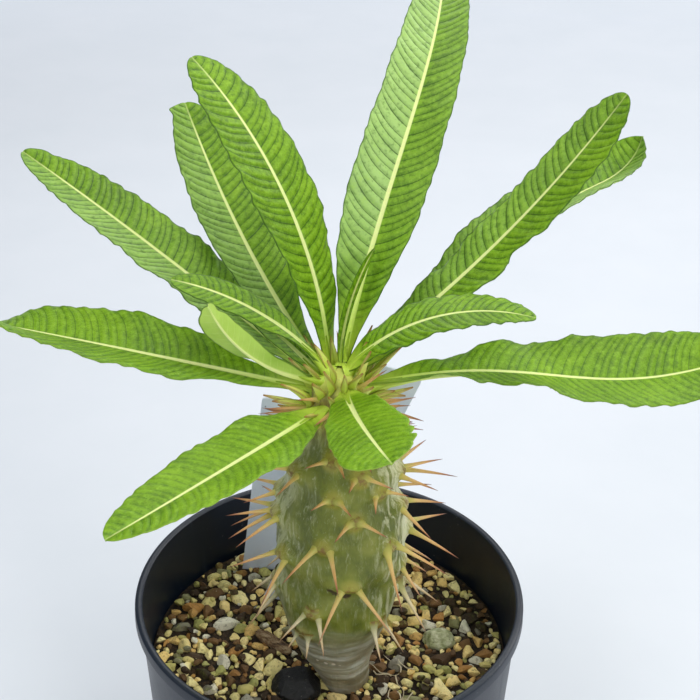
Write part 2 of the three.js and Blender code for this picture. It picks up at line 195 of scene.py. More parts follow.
class Finish:  # one material; its principled shader is the surface
    def __init__(self, name, **fixed):
        self.material = bpy.data.materials.new(name)
        self.material.use_nodes = True
        self.tree = self.material.node_tree
        self.tree.nodes.clear()
        self.shader = self.tree.nodes.new("ShaderNodeBsdfPrincipled")
        output = self.tree.nodes.new("ShaderNodeOutputMaterial")
        self.tree.links.new(self.shader.outputs[0], output.inputs["Surface"])
        for key, value in fixed.items():
            self.shader.inputs[key.replace("_", " ")].default_value = value

    def connect(self, value, socket):
        if isinstance(value, Wire):
            self.tree.links.new(value.socket, socket)
        else:
            socket.default_value = value

    def node(self, kind, settings=None, values=(), output=0):
        made = self.tree.nodes.new(kind)
        for key, setting in (settings or {}).items():
            if key == "stops":
                self.setStops(made.color_ramp, setting)
            else:
                setattr(made, key, setting)
        pairs = values.items() if isinstance(values, dict) else enumerate(values)
        for key, value in pairs:
            self.connect(value, made.inputs[key])
        return Wire(self, made.outputs[output])

    def setStops(self, ramp, stops):
        while len(ramp.elements) < len(stops):
            ramp.elements.new(0.5)
        for element, (position, colour) in zip(ramp.elements, stops):
            element.position = position
            element.color = (*colour, 1)

    def surface(self, **values):
        for key, value in values.items():
            self.connect(value, self.shader.inputs[key.replace("_", " ")])
        return self.material

    # the nodes that most finishes use
    def position(self):
        return self.node("ShaderNodeTexCoord", output="Object")

    def axis(self, name):  # the X, Y or Z of the place, in metres
        return self.node("ShaderNodeSeparateXYZ", None, [self.position()], name)

    def attributes(self, *names):
        return [self.node("ShaderNodeAttribute", {"attribute_name": name}, output="Fac") for name in names]

    def noise(self, size, detail=3, roughness=0.55, where=None, distortion=0.0):  # size of its features in mm
        values = {"Vector": where or self.position(), "Scale": 1 / (size * mm), "Detail": detail,
                  "Roughness": roughness, "Distortion": distortion}
        return self.node("ShaderNodeTexNoise", None, values)

    def stretched(self, x, y, z, turn=0.0):  # places scaled along each axis and turned, for a drawn-out noise
        values = {"Vector": self.position(), "Rotation": (0, 0, math.radians(turn)), "Scale": (x, y, z)}
        return self.node("ShaderNodeMapping", None, values)

    def step(self, value, low, high, fromValue=0.0, toValue=1.0):  # smooth rise from low to high
        values = {"Value": value, "From Min": low, "From Max": high,
                  "To Min": fromValue, "To Max": toValue}
        return self.node("ShaderNodeMapRange", {"interpolation_type": "SMOOTHSTEP"}, values)

    def mix(self, share, first, second):
        first = (*first, 1) if isinstance(first, tuple) else first
        second = (*second, 1) if isinstance(second, tuple) else second
        return self.node("ShaderNodeMix", {"data_type": "RGBA"}, {0: share, 6: first, 7: second}, 2)

    def over(self, colour, *layers):  # screen colours laid over one another, each with its own share
        for share, *top in layers:
            colour = self.mix(share, colour, tone(*top))
        return colour

    def tones(self, value, *stops):  # a ramp of screen colours: each stop is its place and its colour
        stops = [(place, tone(*colour)) for place, *colour in stops]
        return self.node("ShaderNodeValToRGB", {"stops": stops}, [value])

    def bump(self, height, depth):  # depth in mm
        return self.node("ShaderNodeBump", None, {"Distance": depth * mm, "Height": height})


# Camera, lights and floor

view = {
    "elevation": 30.2, "roll": 1.0, "distance": 342, "targetX": 4.4, "targetZ": 165.5,
    "pixels": 1400, "frame": 700, "sensor": 36,
}
light = {
    "sky": (0.88, 0.93, 1.0, 1), "skyStrength": 0.3, "panelSize": 500, "aimHeight": 120,
    # place, power and colour of each soft panel
    "panels": {
        "top": ((0, 0, 1100), 4.6, (1.0, 0.99, 0.97)),
        "front right": ((500, -600, 600), 3.4, (1.0, 0.98, 0.95)),
        "front left": ((-500, -600, 600), 1.8, (0.95, 0.97, 1.0)),
        "rear right": ((600, 500, 700), 3.2, (1.0, 1.0, 1.0)),
        "rear": ((0, 800, 700), 1.8, (0.97, 0.98, 1.0)),
    },
}


def placeCamera():
    up, turn = math.radians(view["elevation"]), math.radians(view["roll"])
    back = Vector((0, -math.cos(up), math.sin(up)))
    right = Vector((1, 0, 0))
    upward = back.cross(right)
    rightRolled = math.cos(turn) * right + math.sin(turn) * upward
    upRolled = math.cos(turn) * upward - math.sin(turn) * right
    place = Vector((view["targetX"], 0, view["targetZ"])) + back * view["distance"]
    lens = bpy.data.cameras.new("camera")
    lens.sensor_width = view["sensor"]
    lens.lens = view["sensor"] * view["pixels"] / view["frame"]
    lens.clip_start = 0.01
    camera = linked("camera", lens)
    aim = Matrix((rightRolled, upRolled, back)).transposed().to_4x4()
    camera.matrix_world = Matrix.Translation(place * mm) @ aim
    bpy.context.scene.camera = camera


def addLight(name, place, power, colour):  # a square panel aimed at the plant
    lamp = bpy.data.lights.new(name, "AREA")
    lamp.size = light["panelSize"] * mm
    lamp.energy = power
    lamp.color = colour
    panel = linked(name, lamp)
    panel.location = Vector(place) * mm
    aim = Vector((0, 0, light["aimHeight"])) * mm - panel.location
    panel.rotation_euler = aim.to_track_quat("-Z", "Y").to_euler()


def lightStudio():
    sky = bpy.data.worlds.new("sky")
    sky.use_nodes = True
    background = sky.node_tree.nodes["Background"]
    background.inputs["Color"].default_value = light["sky"]
    background.inputs["Strength"].default_value = light["skyStrength"]
    bpy.context.scene.world = sky
    for name, (place, power, colour) in light["panels"].items():
        addLight(name, place, power, colour)
    bpy.context.scene.view_settings.view_transform = "Standard"


def layFloor():
    finish = Finish("floor", Roughness=0.9, Emission_Strength=1)
    # painted light: the floor glows brighter further from the plant, so the far floor looks lit
    away = finish.node("ShaderNodeVectorMath", {"operation": "LENGTH"}, [finish.position()], "Value")
    paintedFarGlow = finish.mix(finish.step(away, 0.56, 1.5), (0, 0, 0), (0.6, 0.65, 0.72))
    clouds = {"stops": ((0.3, (0.72, 0.76, 0.81)), (0.7, (0.75, 0.785, 0.835)))}
    pale = finish.node("ShaderNodeValToRGB", clouds, [finish.noise(60, 4)])
    bpy.ops.mesh.primitive_plane_add(size=60)
    floor = added("floor")
    floor.data.materials.append(finish.surface(Base_Color=pale, Emission_Color=paintedFarGlow))


bpy.ops.object.select_all(action="DESELECT")
placeCamera()
lightStudio()
layFloor()
print("camera, lights and floor are in place")


# Pot

potShape = {
    "lipRadius": 52.5, "height": 90, "lipWidth": 2.3, "lipDepth": 3.6, "footRadius": 46.5, "footRound": 1.6,
    "lipRound": 0.75, "wall": 1.2, "floor": 1.8, "sides": 160,
    "drainHoles": 6, "drainRadius": 4.2, "drainCircle": 27,
}
potShape["neckRadius"] = potShape["lipRadius"] - 1.5
potShape["under"] = potShape["height"] - potShape["lipDepth"]
potShape["slope"] = (potShape["neckRadius"] - potShape["footRadius"]) / potShape["under"]


def potInner(z):
    return potShape["footRadius"] - potShape["wall"] + potShape["slope"] * z


def turned(name, rings, sides):  # a closed round body: a filled circle extruded from ring to ring
    firstRadius, firstHeight = rings[0]
    bpy.ops.mesh.primitive_circle_add(vertices=sides, radius=firstRadius * mm, fill_type="NGON",
                                      location=(0, 0, firstHeight * mm))
    body = added(name)
    inEditMode(body, "FACE")
    bpy.ops.mesh.select_all(action="SELECT")
    for (radius, height), (nextRadius, nextHeight) in zip(rings, rings[1:]):
        bpy.ops.mesh.extrude_region_move(TRANSFORM_OT_translate={"value": (0, 0, (nextHeight - height) * mm)})
        share = nextRadius / radius
        bpy.ops.transform.resize(value=(share, share, 1), center_override=(0, 0, nextHeight * mm))
    bpy.ops.object.mode_set(mode="OBJECT")
    weld(body, 0.0001)
    return body


def potRings():  # radius and height of every ring, up the outside, over the lip and down the inside
    p = potShape
    foot, neck, lip, under = p["footRadius"], p["neckRadius"], p["lipRadius"], p["under"]
    lipInner = lip - p["lipWidth"]
    crest = p["height"] - p["lipRound"]
    rings = [(foot - p["footRound"], 0), (foot - 0.9, 0.16), (foot - 0.3, 0.7), (foot, p["footRound"]),
             (neck, under - 0.1), (neck + 0.3, under), (lip - 0.3, under + 0.2), (lip, under + 0.6),
             (lip - 0.1, crest)]
    for i in range(1, 6):  # the round top of the lip
        turn = math.pi * i / 6
        reach = (p["lipWidth"] / 2 - 0.05) * math.cos(turn)
        rings.append(((lip + lipInner) / 2 + reach, crest + p["lipRound"] * math.sin(turn)))
    inside = foot - p["wall"]
    rings += [(lipInner + 0.05, crest - 0.2), (potInner(under), under - 1.2),
              (inside, p["floor"] + 1), (inside - 1, p["floor"])]
    return rings


def makePot():
    pot = turned("pot_shell", potRings(), potShape["sides"])
    drills = []
    for i in range(potShape["drainHoles"]):
        turn = 2 * math.pi * i / potShape["drainHoles"]
        place = Vector((math.cos(turn), math.sin(turn), 0)) * potShape["drainCircle"] + Vector((0, 0, 1))
        bpy.ops.mesh.primitive_cylinder_add(vertices=40, radius=potShape["drainRadius"] * mm,
                                            depth=8 * mm, location=place * mm)
        drills.append(added("drill"))
    drill = joined(drills, "drill")
    applyModifier(pot, "BOOLEAN", object=drill, operation="DIFFERENCE", solver="EXACT")
    bpy.data.objects.remove(drill)
    shadeSmooth(pot, 32)
    return pot


def potFinish():
    finish = Finish("black nursery plastic")
    smudge = finish.noise(14, 4, 0.6)
    streaks = finish.noise(2.6, 3, 0.6, finish.stretched(1, 1, 0.06))
    grain = finish.noise(0.35, 2)
    height = finish.axis("Z")
    dustLine = finish.step(height, 0.066, 0.082, 1.0, 0.0) * finish.step(smudge, 0.35, 0.75)
    scuffsAndSheen = finish.step(streaks, 0.58, 0.8)
    specks = finish.step(finish.noise(1.1, 1), 0.74, 0.8)
    # pale blue-grey scuffs along the streaks, lighter than scuffs alone so that they also act as a painted
    # sheen on the wall
    colour = finish.mix(scuffsAndSheen * 0.35, (0.0025, 0.008, 0.02), (0.055, 0.075, 0.1))
    colour = finish.mix(dustLine * 0.07, colour, (0.10, 0.10, 0.09))
    colour = finish.mix(specks * 0.5, colour, (0.16, 0.17, 0.18))
    rough = 0.3 + smudge * 0.2 + scuffsAndSheen * 0.1
    bumps = finish.bump(grain + streaks * 0.5, 0.03)
    return finish.surface(Base_Color=colour, Roughness=rough, Normal=bumps)


dress(makePot(), potFinish(), "pot", "pot")
print("pot turned")


# Stem

stemForm = {
    "x": 2.6, "y": -12.0, "lean": 1.5, "crownShift": -0.4, "foot": 60.0, "top": 166.4,
    "around": 220, "levels": 250,
    # height, radius and how far the middle lies to the right of the axis
    "profile": [
        (53, 3.6, 2.4), (58, 5.6, 2.4), (64, 6.2, 2.2), (70, 6.5, 2.0), (75, 7.4, 1.0),
        (80, 9.2, -0.2), (85, 10.9, -0.6), (90, 12.6, -0.7), (94, 13.8, -0.6), (98, 14.7, -0.3),
        (102, 15.1, 0), (106, 15.2, 0.1), (110, 15.1, 0), (114, 15.8, 0.1), (118, 16.3, 0.3),
        (122, 16.2, 0.2), (126, 15.6, 0.1), (130, 14.8, 0), (134, 14.2, 0.1), (138, 13.6, 0.3),
        (142, 12.6, 0.4), (146, 10.9, 0.3), (150, 9.4, 0.1), (154, 8.4, 0), (158, 7.6, -0.2),
        (161, 6.6, -0.3), (164, 4.9, -0.4), (166.4, 2.4, -0.4),
    ],
    # tubercles: azimuth, height and spine length of the near ones, then the spiral of the far side
    "near": [
        (-124, 95.5, 5.5), (-48, 98.5, 9), (-114, 104, 10.5), (-175, 105, 11), (-12, 106, 13.5),
        (-12, 112, 9), (-81, 114, 14.5), (-145, 119, 15), (0, 121, 14.5), (-42, 122.5, 15.5),
        (-104, 125.5, 12.5), (179, 125, 14.5), (-165, 127, 13), (-13, 130, 13), (174, 130.5, 10.5),
        (-76, 132, 8), (-98, 138, 6), (-49, 138, 6.5), (-8, 138.5, 11), (-148, 141.5, 10),
        (-70, 143, 8), (-102, 147, 8),
    ],
    "far": {"firstHeight": 90.6, "step": 1.3, "count": 43, "firstAzimuth": 128, "turn": 151.1,
            "from": 15, "to": 165},
    "bulge": 1.5, "bulgeAcross": 3.4, "bulgeTall": 2.6,
    # the swelling round each thorn, the uneven skin, the tiers above and the fine rings of the foot
    "collar": 0.9, "collarWidth": 1.5, "lumps": 0.32, "grain": 0.09,
    "tier": 0.3, "tierHeight": 12.5, "ring": 0.05, "ringHeight": 2.3,
    # azimuth, height and size of the brown scar and of the pale flecks above the foot
    "scars": [(-90, 111.2, 1.8), (-82, 110.6, 1.5), (-98, 112.2, 1.0)],
    "flecks": [(-116, 84.6, 0.6), (-104, 84.2, 0.8), (-93, 84.1, 0.7), (-84, 83.8, 0.5)],
}
thornForm = {
    "seed": 21, "shortest": 9, "longest": 14, "apart": 1.5, "splay": 34,
    "lowRise": -48, "highRise": 12, "lowHeight": 95, "highHeight": 150,
    "crown": {"firstHeight": 147.5, "step": 0.72, "count": 17, "firstAzimuth": 20, "turn": 137.5,
              "lengths": (8, 12), "rises": (-6, 14), "girth": 0.85},
    "tuft": {"firstHeight": 151, "step": 0.42, "count": 30, "firstAzimuth": 75, "turn": 137.5,
             "lengths": (7, 12.5), "rises": (-4, 44), "girth": 0.95, "sunk": 0.2},
    "strongGirth": 1.45,
    # the strong ones under the leaf feet: azimuth, height, length and rise
    "strong": [(-20, 157, 13.5, 3), (12, 160, 10, 28), (193, 153.5, 11, 24), (205, 150.5, 7, 8),
               (-6, 153.5, 9, 0), (2, 150.5, 8, 6), (168, 157, 9, 30), (28, 157, 11, 16)],
    # thickness along a thorn: share of its length and radius
    "shares": (-0.14, 0.0, 0.06, 0.14, 0.3, 0.6, 0.88, 1.0),
    "radii": (2.3, 1.5, 1.02, 0.76, 0.56, 0.36, 0.15, 0.03),
    "around": 12, "stations": 14,
}


def drawsFrom(seed):  # the same draws as the solid stem's, each from 0 to 1
    state = seed
    while True:
        state = (state * 1664525 + 1013904223) % 4294967296
        yield state / 4294967296


def blend(low, high, share):
    return low + (high - low) * share


def spiral(form, number):  # azimuth in degrees and height of one of those that stand on a spiral
    return form["firstAzimuth"] + form["turn"] * number, form["firstHeight"] + form["step"] * number


def stemAt(z):  # radius and middle of the stem at heights
    heights, radii, shifts = np.array(stemForm["profile"]).T
    soft = [np.interp(z + d, heights, radii) for d in (-1.6, -0.8, 0, 0.8, 1.6)]
    back = stemForm["lean"] * smooth(75, 160, z)
    return sum(soft) / 5, stemForm["x"] + np.interp(z, heights, shifts), stemForm["y"] + back


def findTubercles():
    draw = drawsFrom(thornForm["seed"] + 2)
    found = [(math.radians(azimuth), z, length) for azimuth, z, length in stemForm["near"]]
    far = stemForm["far"]
    for i in range(far["count"]):
        azimuth, z = spiral(far, i)
        length = blend(thornForm["shortest"], thornForm["longest"], next(draw))
        if far["from"] <= azimuth % 360 <= far["to"]:
            found.append((math.radians(azimuth % 360), z, length))
    return found


def onStem(azimuth, z, lift):
    radius, x, y = stemAt(z)
    reach = radius + lift
    return Vector((x + reach * math.cos(azimuth), y + reach * math.sin(azimuth), z))


def outward(azimuth, rise):
    level = math.cos(rise)
    return Vector((level * math.cos(azimuth), level * math.sin(azimuth), math.sin(rise)))


def thornAt(azimuth, z, lift, rise, length, girth):
    turn = math.radians(azimuth)
    return onStem(turn, z, lift), outward(turn, math.radians(rise)), length, girth


def planThorns():  # root, direction, length and girth of every thorn on the stem and round the crown
    draw = drawsFrom(thornForm["seed"])
    plan = []
    for azimuth, z, reach in tubercles:
        level = smooth(thornForm["lowHeight"], thornForm["highHeight"], z)
        for side in (-1, 1):
            length = reach * blend(0.9, 1.1, next(draw))
            rise = blend(thornForm["lowRise"], thornForm["highRise"], level) + blend(-9, 9, next(draw))
            aside = side * math.radians(thornForm["splay"] * blend(0.7, 1.2, next(draw)))
            rootAzimuth = azimuth + side * thornForm["apart"] / stemAt(z)[0]
            root = onStem(rootAzimuth, z, stemForm["bulge"] * 0.6)
            girth = blend(0.7, 1, min(length / 12, 1))
            plan.append((root, outward(azimuth + aside, math.radians(rise)), length, girth))
    draw = drawsFrom(thornForm["seed"] + 1)
    crown, tuft = thornForm["crown"], thornForm["tuft"]
    for i in range(crown["count"]):
        length = blend(*crown["lengths"], next(draw))
        rise = blend(*crown["rises"], next(draw))
        plan.append(thornAt(*spiral(crown, i), 0, rise, length, crown["girth"]))
    for i in range(tuft["count"]):
        rise = blend(*tuft["rises"], i / tuft["count"]) + blend(-8, 8, next(draw))
        length = blend(*tuft["lengths"], next(draw))
        plan.append(thornAt(*spiral(tuft, i), -tuft["sunk"], rise, length, tuft["girth"]))
    for azimuth, z, length, rise in thornForm["strong"]:
        plan.append(thornAt(azimuth, z, -tuft["sunk"], rise, length, thornForm["strongGirth"]))
    return plan


def clearOf(plan, names):  # the thorns whose line meets none of the named solids
    graph = bpy.context.evaluated_depsgraph_get()
    trees = [BVHTree.FromObject(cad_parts[name], graph) for name in names]
    return [one for one in plan
            if all(tree.ray_cast(one[0] * mm, one[1], one[2] * mm)[0] is None for tree in trees)]


def tube(name, path, radii, around, flat=1.0):  # a closed tapered tube along a path, from a grid rolled up
    made, across, lengthwise = sheet(name, around, len(path) - 1)
    row = np.round((lengthwise + 1) / 2 * (len(path) - 1)).astype(int)
    turn = np.pi * across
    line = np.array([tuple(point) for point in path])
    along = np.gradient(line, axis=0)
    along /= np.linalg.norm(along, axis=1)[:, None]
    level = np.cross(along, (0.02, 0.01, 1.0))
    level /= np.linalg.norm(level, axis=1)[:, None]
    upright = np.cross(level, along)
    reach = np.asarray(radii)[row][:, None]
    ring = level[row] * np.cos(turn)[:, None] + upright[row] * np.sin(turn)[:, None] * flat
    setPlaces(made, line[row] + ring * reach)
    return made, row / (len(path) - 1)


def makeThorn(number, root, direction, length, girth):
    form = thornForm
    lengthwise = np.linspace(form["shares"][0], 1, form["stations"])
    radii = np.interp(lengthwise, form["shares"], form["radii"]) * girth
    sideways = direction.cross(Vector((0, 0, 1))).normalized()
    bend = 0.05 * length * Vector((0, 0, -1)) + 0.04 * length * math.sin(2.4 * number) * sideways
    path = [root + direction * length * u + bend * max(u, 0) ** 2 for u in lengthwise]
    thorn, along = tube("thorn", path, radii, form["around"], 0.85)
    setValues(thorn, "thorn", along)
    return thorn


def makeStemBody():
    form = stemForm
    body, across, lengthwise = sheet("stem_body", form["around"], form["levels"])
    azimuth = np.pi * across
    z = blend(form["foot"], form["top"], (lengthwise + 1) / 2)
    radius, x, y = stemAt(z)
    around = np.stack([np.cos(azimuth), np.sin(azimuth)], 1)

    def sideways(middle):  # how far round the stem each point lies from an azimuth
        return np.arctan2(np.sin(azimuth - middle), np.cos(azimuth - middle)) * radius

    bulge = np.zeros(len(z))
    nearest = np.full(len(z), 99.0)
    for middle, height, length in tubercles:
        aside, rise = sideways(middle), z - height
        hump = np.exp(-(aside / form["bulgeAcross"]) ** 2 - (rise / form["bulgeTall"]) ** 2)
        bulge += (min(length / 11, 1.15) * hump) ** 4
        nearest = np.minimum(nearest, np.hypot(aside, rise))
    lift = form["bulge"] * bulge ** 0.25
    for root, *unused, girth in thorns:
        middleX, middleY = stemAt(root.z)[1:]
        away = np.hypot(sideways(math.atan2(root.y - middleY, root.x - middleX)), z - root.z)
        lift += form["collar"] * girth * np.exp(-(away / form["collarWidth"]) ** 2)
    coarse = np.stack([radius * around[:, 0] / 5, radius * around[:, 1] / 5, z / 7], 1)
    fine = np.stack([radius * around[:, 0] / 1.3, radius * around[:, 1] / 1.3, z / 3.5], 1)
    lift += form["lumps"] * roughness3d(coarse, 1, 3) + form["grain"] * roughness3d(fine, 1, 9, 2)
    swollen = smooth(98, 112, z) * (1 - smooth(146, 156, z))
    lift += form["tier"] * swollen * np.sin(2 * np.pi * z / form["tierHeight"] + 0.9 * np.sin(azimuth + 1))
    low = (1 - smooth(88, 98, z)) * smooth(68, 74, z)
    waver = 1.3 * np.sin(azimuth * 2 + z / 4)
    lift += form["ring"] * low * np.sin(2 * np.pi * z / form["ringHeight"] + waver)
    closed = np.sqrt(np.clip(1 - np.clip((z - form["top"] + 1.4) / 1.4, 0, 1) ** 2, 0, 1))
    closed *= np.clip((z - form["foot"]) / 0.6, 0, 1)
    reach = (radius + lift) * closed
    setPlaces(body, np.stack([x + reach * around[:, 0], y + reach * around[:, 1], z], 1))
    for name, rows in (("scar", form["scars"]), ("fleck", form["flecks"])):
        strength = np.zeros(len(z))
        for middle, height, size in rows:
            away = np.hypot(sideways(math.radians(middle)), (z - height) * 1.4)
            strength += np.exp(-(away / size) ** 2)
        setValues(body, name, strength)
    setValues(body, "areole", nearest)
    # how squarely each point faces left or right, which sets the painted sheen on the flanks
    setValues(body, "flank", np.abs(np.cos(azimuth)) ** 3)
    setValues(body, "thorn", np.full(len(z), -1.0))
    return body


def stemFinish():
    finish = Finish("stem", Subsurface_Weight=0.06, Subsurface_Scale=0.002)
    areole, thorn, flank = finish.attributes("areole", "thorn", "flank")
    scar, fleck = finish.attributes("scar", "fleck")
    height = finish.axis("Z")
    # painted light: the right half of the stem gets more sheen
    paintedLitRight = finish.step(finish.axis("X"), -0.01, 0.014)
    wander = finish.noise(6, 3)
    level = height + (wander - 0.5) * 0.008
    flakes = finish.noise(2.4, 5, 0.7, finish.stretched(1, 1, 0.28), 0.8)
    hairs = finish.noise(0.75, 4, 0.65, finish.stretched(1, 1, 0.14), 1.2)
    cloud = finish.noise(8, 4)
    body = finish.step(level, 0.088, 0.103)

    # olive skin, greener round the areoles, with a silvery bloom of flaky skin; painted sheen makes the bloom
    # and the pale streaks stronger on the left and right flanks, and the bloom strongest on the right
    skin = finish.tones(cloud, (0.3, 80, 90, 24), (0.5, 104, 112, 36), (0.7, 130, 134, 58))
    bloomAndSheen = finish.step(flakes + flank * 0.16, 0.52, 0.7) * body
    streak = finish.step(hairs, 0.56, 0.66) * finish.step(flakes, 0.38, 0.56) * body
    shade = finish.step(cloud, 0.6, 0.4) * finish.step(hairs, 0.52, 0.36)
    skin = finish.over(skin, (finish.step(areole, 6.0, 1.5) * 0.5, 122, 130, 34),
                       (bloomAndSheen * (0.14 + flank * (0.32 + paintedLitRight * 0.5)), 214, 214, 174),
                       (streak * (0.2 + flank * 0.3), 216, 218, 186),
                       (shade * 0.3, 66, 76, 26))

    # grey-brown foot with pale rings
    rings = finish.noise(2.6, 3, 0.55, finish.stretched(0.16, 0.16, 1))
    foot = finish.tones(rings, (0.35, 142, 136, 108), (0.52, 166, 162, 136), (0.66, 202, 202, 184))
    foot = finish.over(foot, (finish.step(level, 0.08, 0.07) * 0.5, 112, 96, 64))
    skin = finish.mix(finish.step(level, 0.101, 0.086), skin, foot)

    # halo and pad of each areole, the scar, the flecks and the yellow-green crown
    pad = finish.step(areole, 1.7, 0.6) * finish.step(finish.noise(0.8, 2), 0.34, 0.6)
    ragged = (finish.noise(0.9, 3) - 0.5) * 0.9
    skin = finish.over(skin, (finish.step(areole, 3.4, 1.4) * 0.4, 176, 160, 66),
                       (pad * 0.7, 116, 78, 40),
                       (finish.step(scar + ragged, 0.35, 0.75) * 0.9, 62, 42, 34),
                       (finish.step(fleck + ragged * 0.5, 0.4, 0.7) * 0.85, 226, 218, 196))
    crown = finish.tones(flakes, (0.4, 92, 70, 34), (0.52, 150, 142, 58), (0.66, 196, 200, 100))
    crown = finish.over(crown, (finish.step(level, 0.16, 0.165), 196, 204, 92))
    skin = finish.mix(finish.step(level, 0.147, 0.157) * 0.9, skin, crown)

    # thorns: green feet, tan shafts and brown tips, paler low on the stem
    low = finish.step(height, 0.112, 0.1)
    wear = thorn + (wander - 0.5) * 0.14
    warm = finish.tones(wear, (0.1, 150, 150, 62), (0.24, 190, 178, 92), (0.44, 214, 178, 112),
                        (0.68, 206, 156, 100), (0.87, 160, 104, 72), (0.99, 98, 62, 48))
    pale = finish.tones(wear, (0.1, 158, 158, 108), (0.4, 214, 206, 170), (0.8, 208, 180, 134),
                        (0.98, 146, 104, 74))
    thornTone = finish.mix(low * 0.85, warm, pale)
    onThorn = finish.step(thorn, -0.5, -0.1)
    colour = finish.mix(onThorn * finish.step(thorn, 0.02, 0.14), skin, thornTone)
    rough = 0.42 + flakes * 0.22 - onThorn * 0.06
    bumps = finish.bump(flakes * 0.7 + hairs * 0.7 + finish.noise(0.5, 2) * 0.3, 0.2)
    return finish.surface(Base_Color=colour, Roughness=rough, Normal=bumps)


tubercles = findTubercles()
foliage = [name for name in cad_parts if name.startswith(("leaf_", "label_"))]
thorns = clearOf(planThorns(), foliage)
stemParts = [makeStemBody()] + [makeThorn(number, *one) for number, one in enumerate(thorns)]
stem = joined(stemParts, "stem_skin")
weld(stem)
shadeSmooth(stem)
dress(stem, stemFinish(), "stem_skin", "caudex")
print("stem with", len(thorns), "thorns")


# Leaves

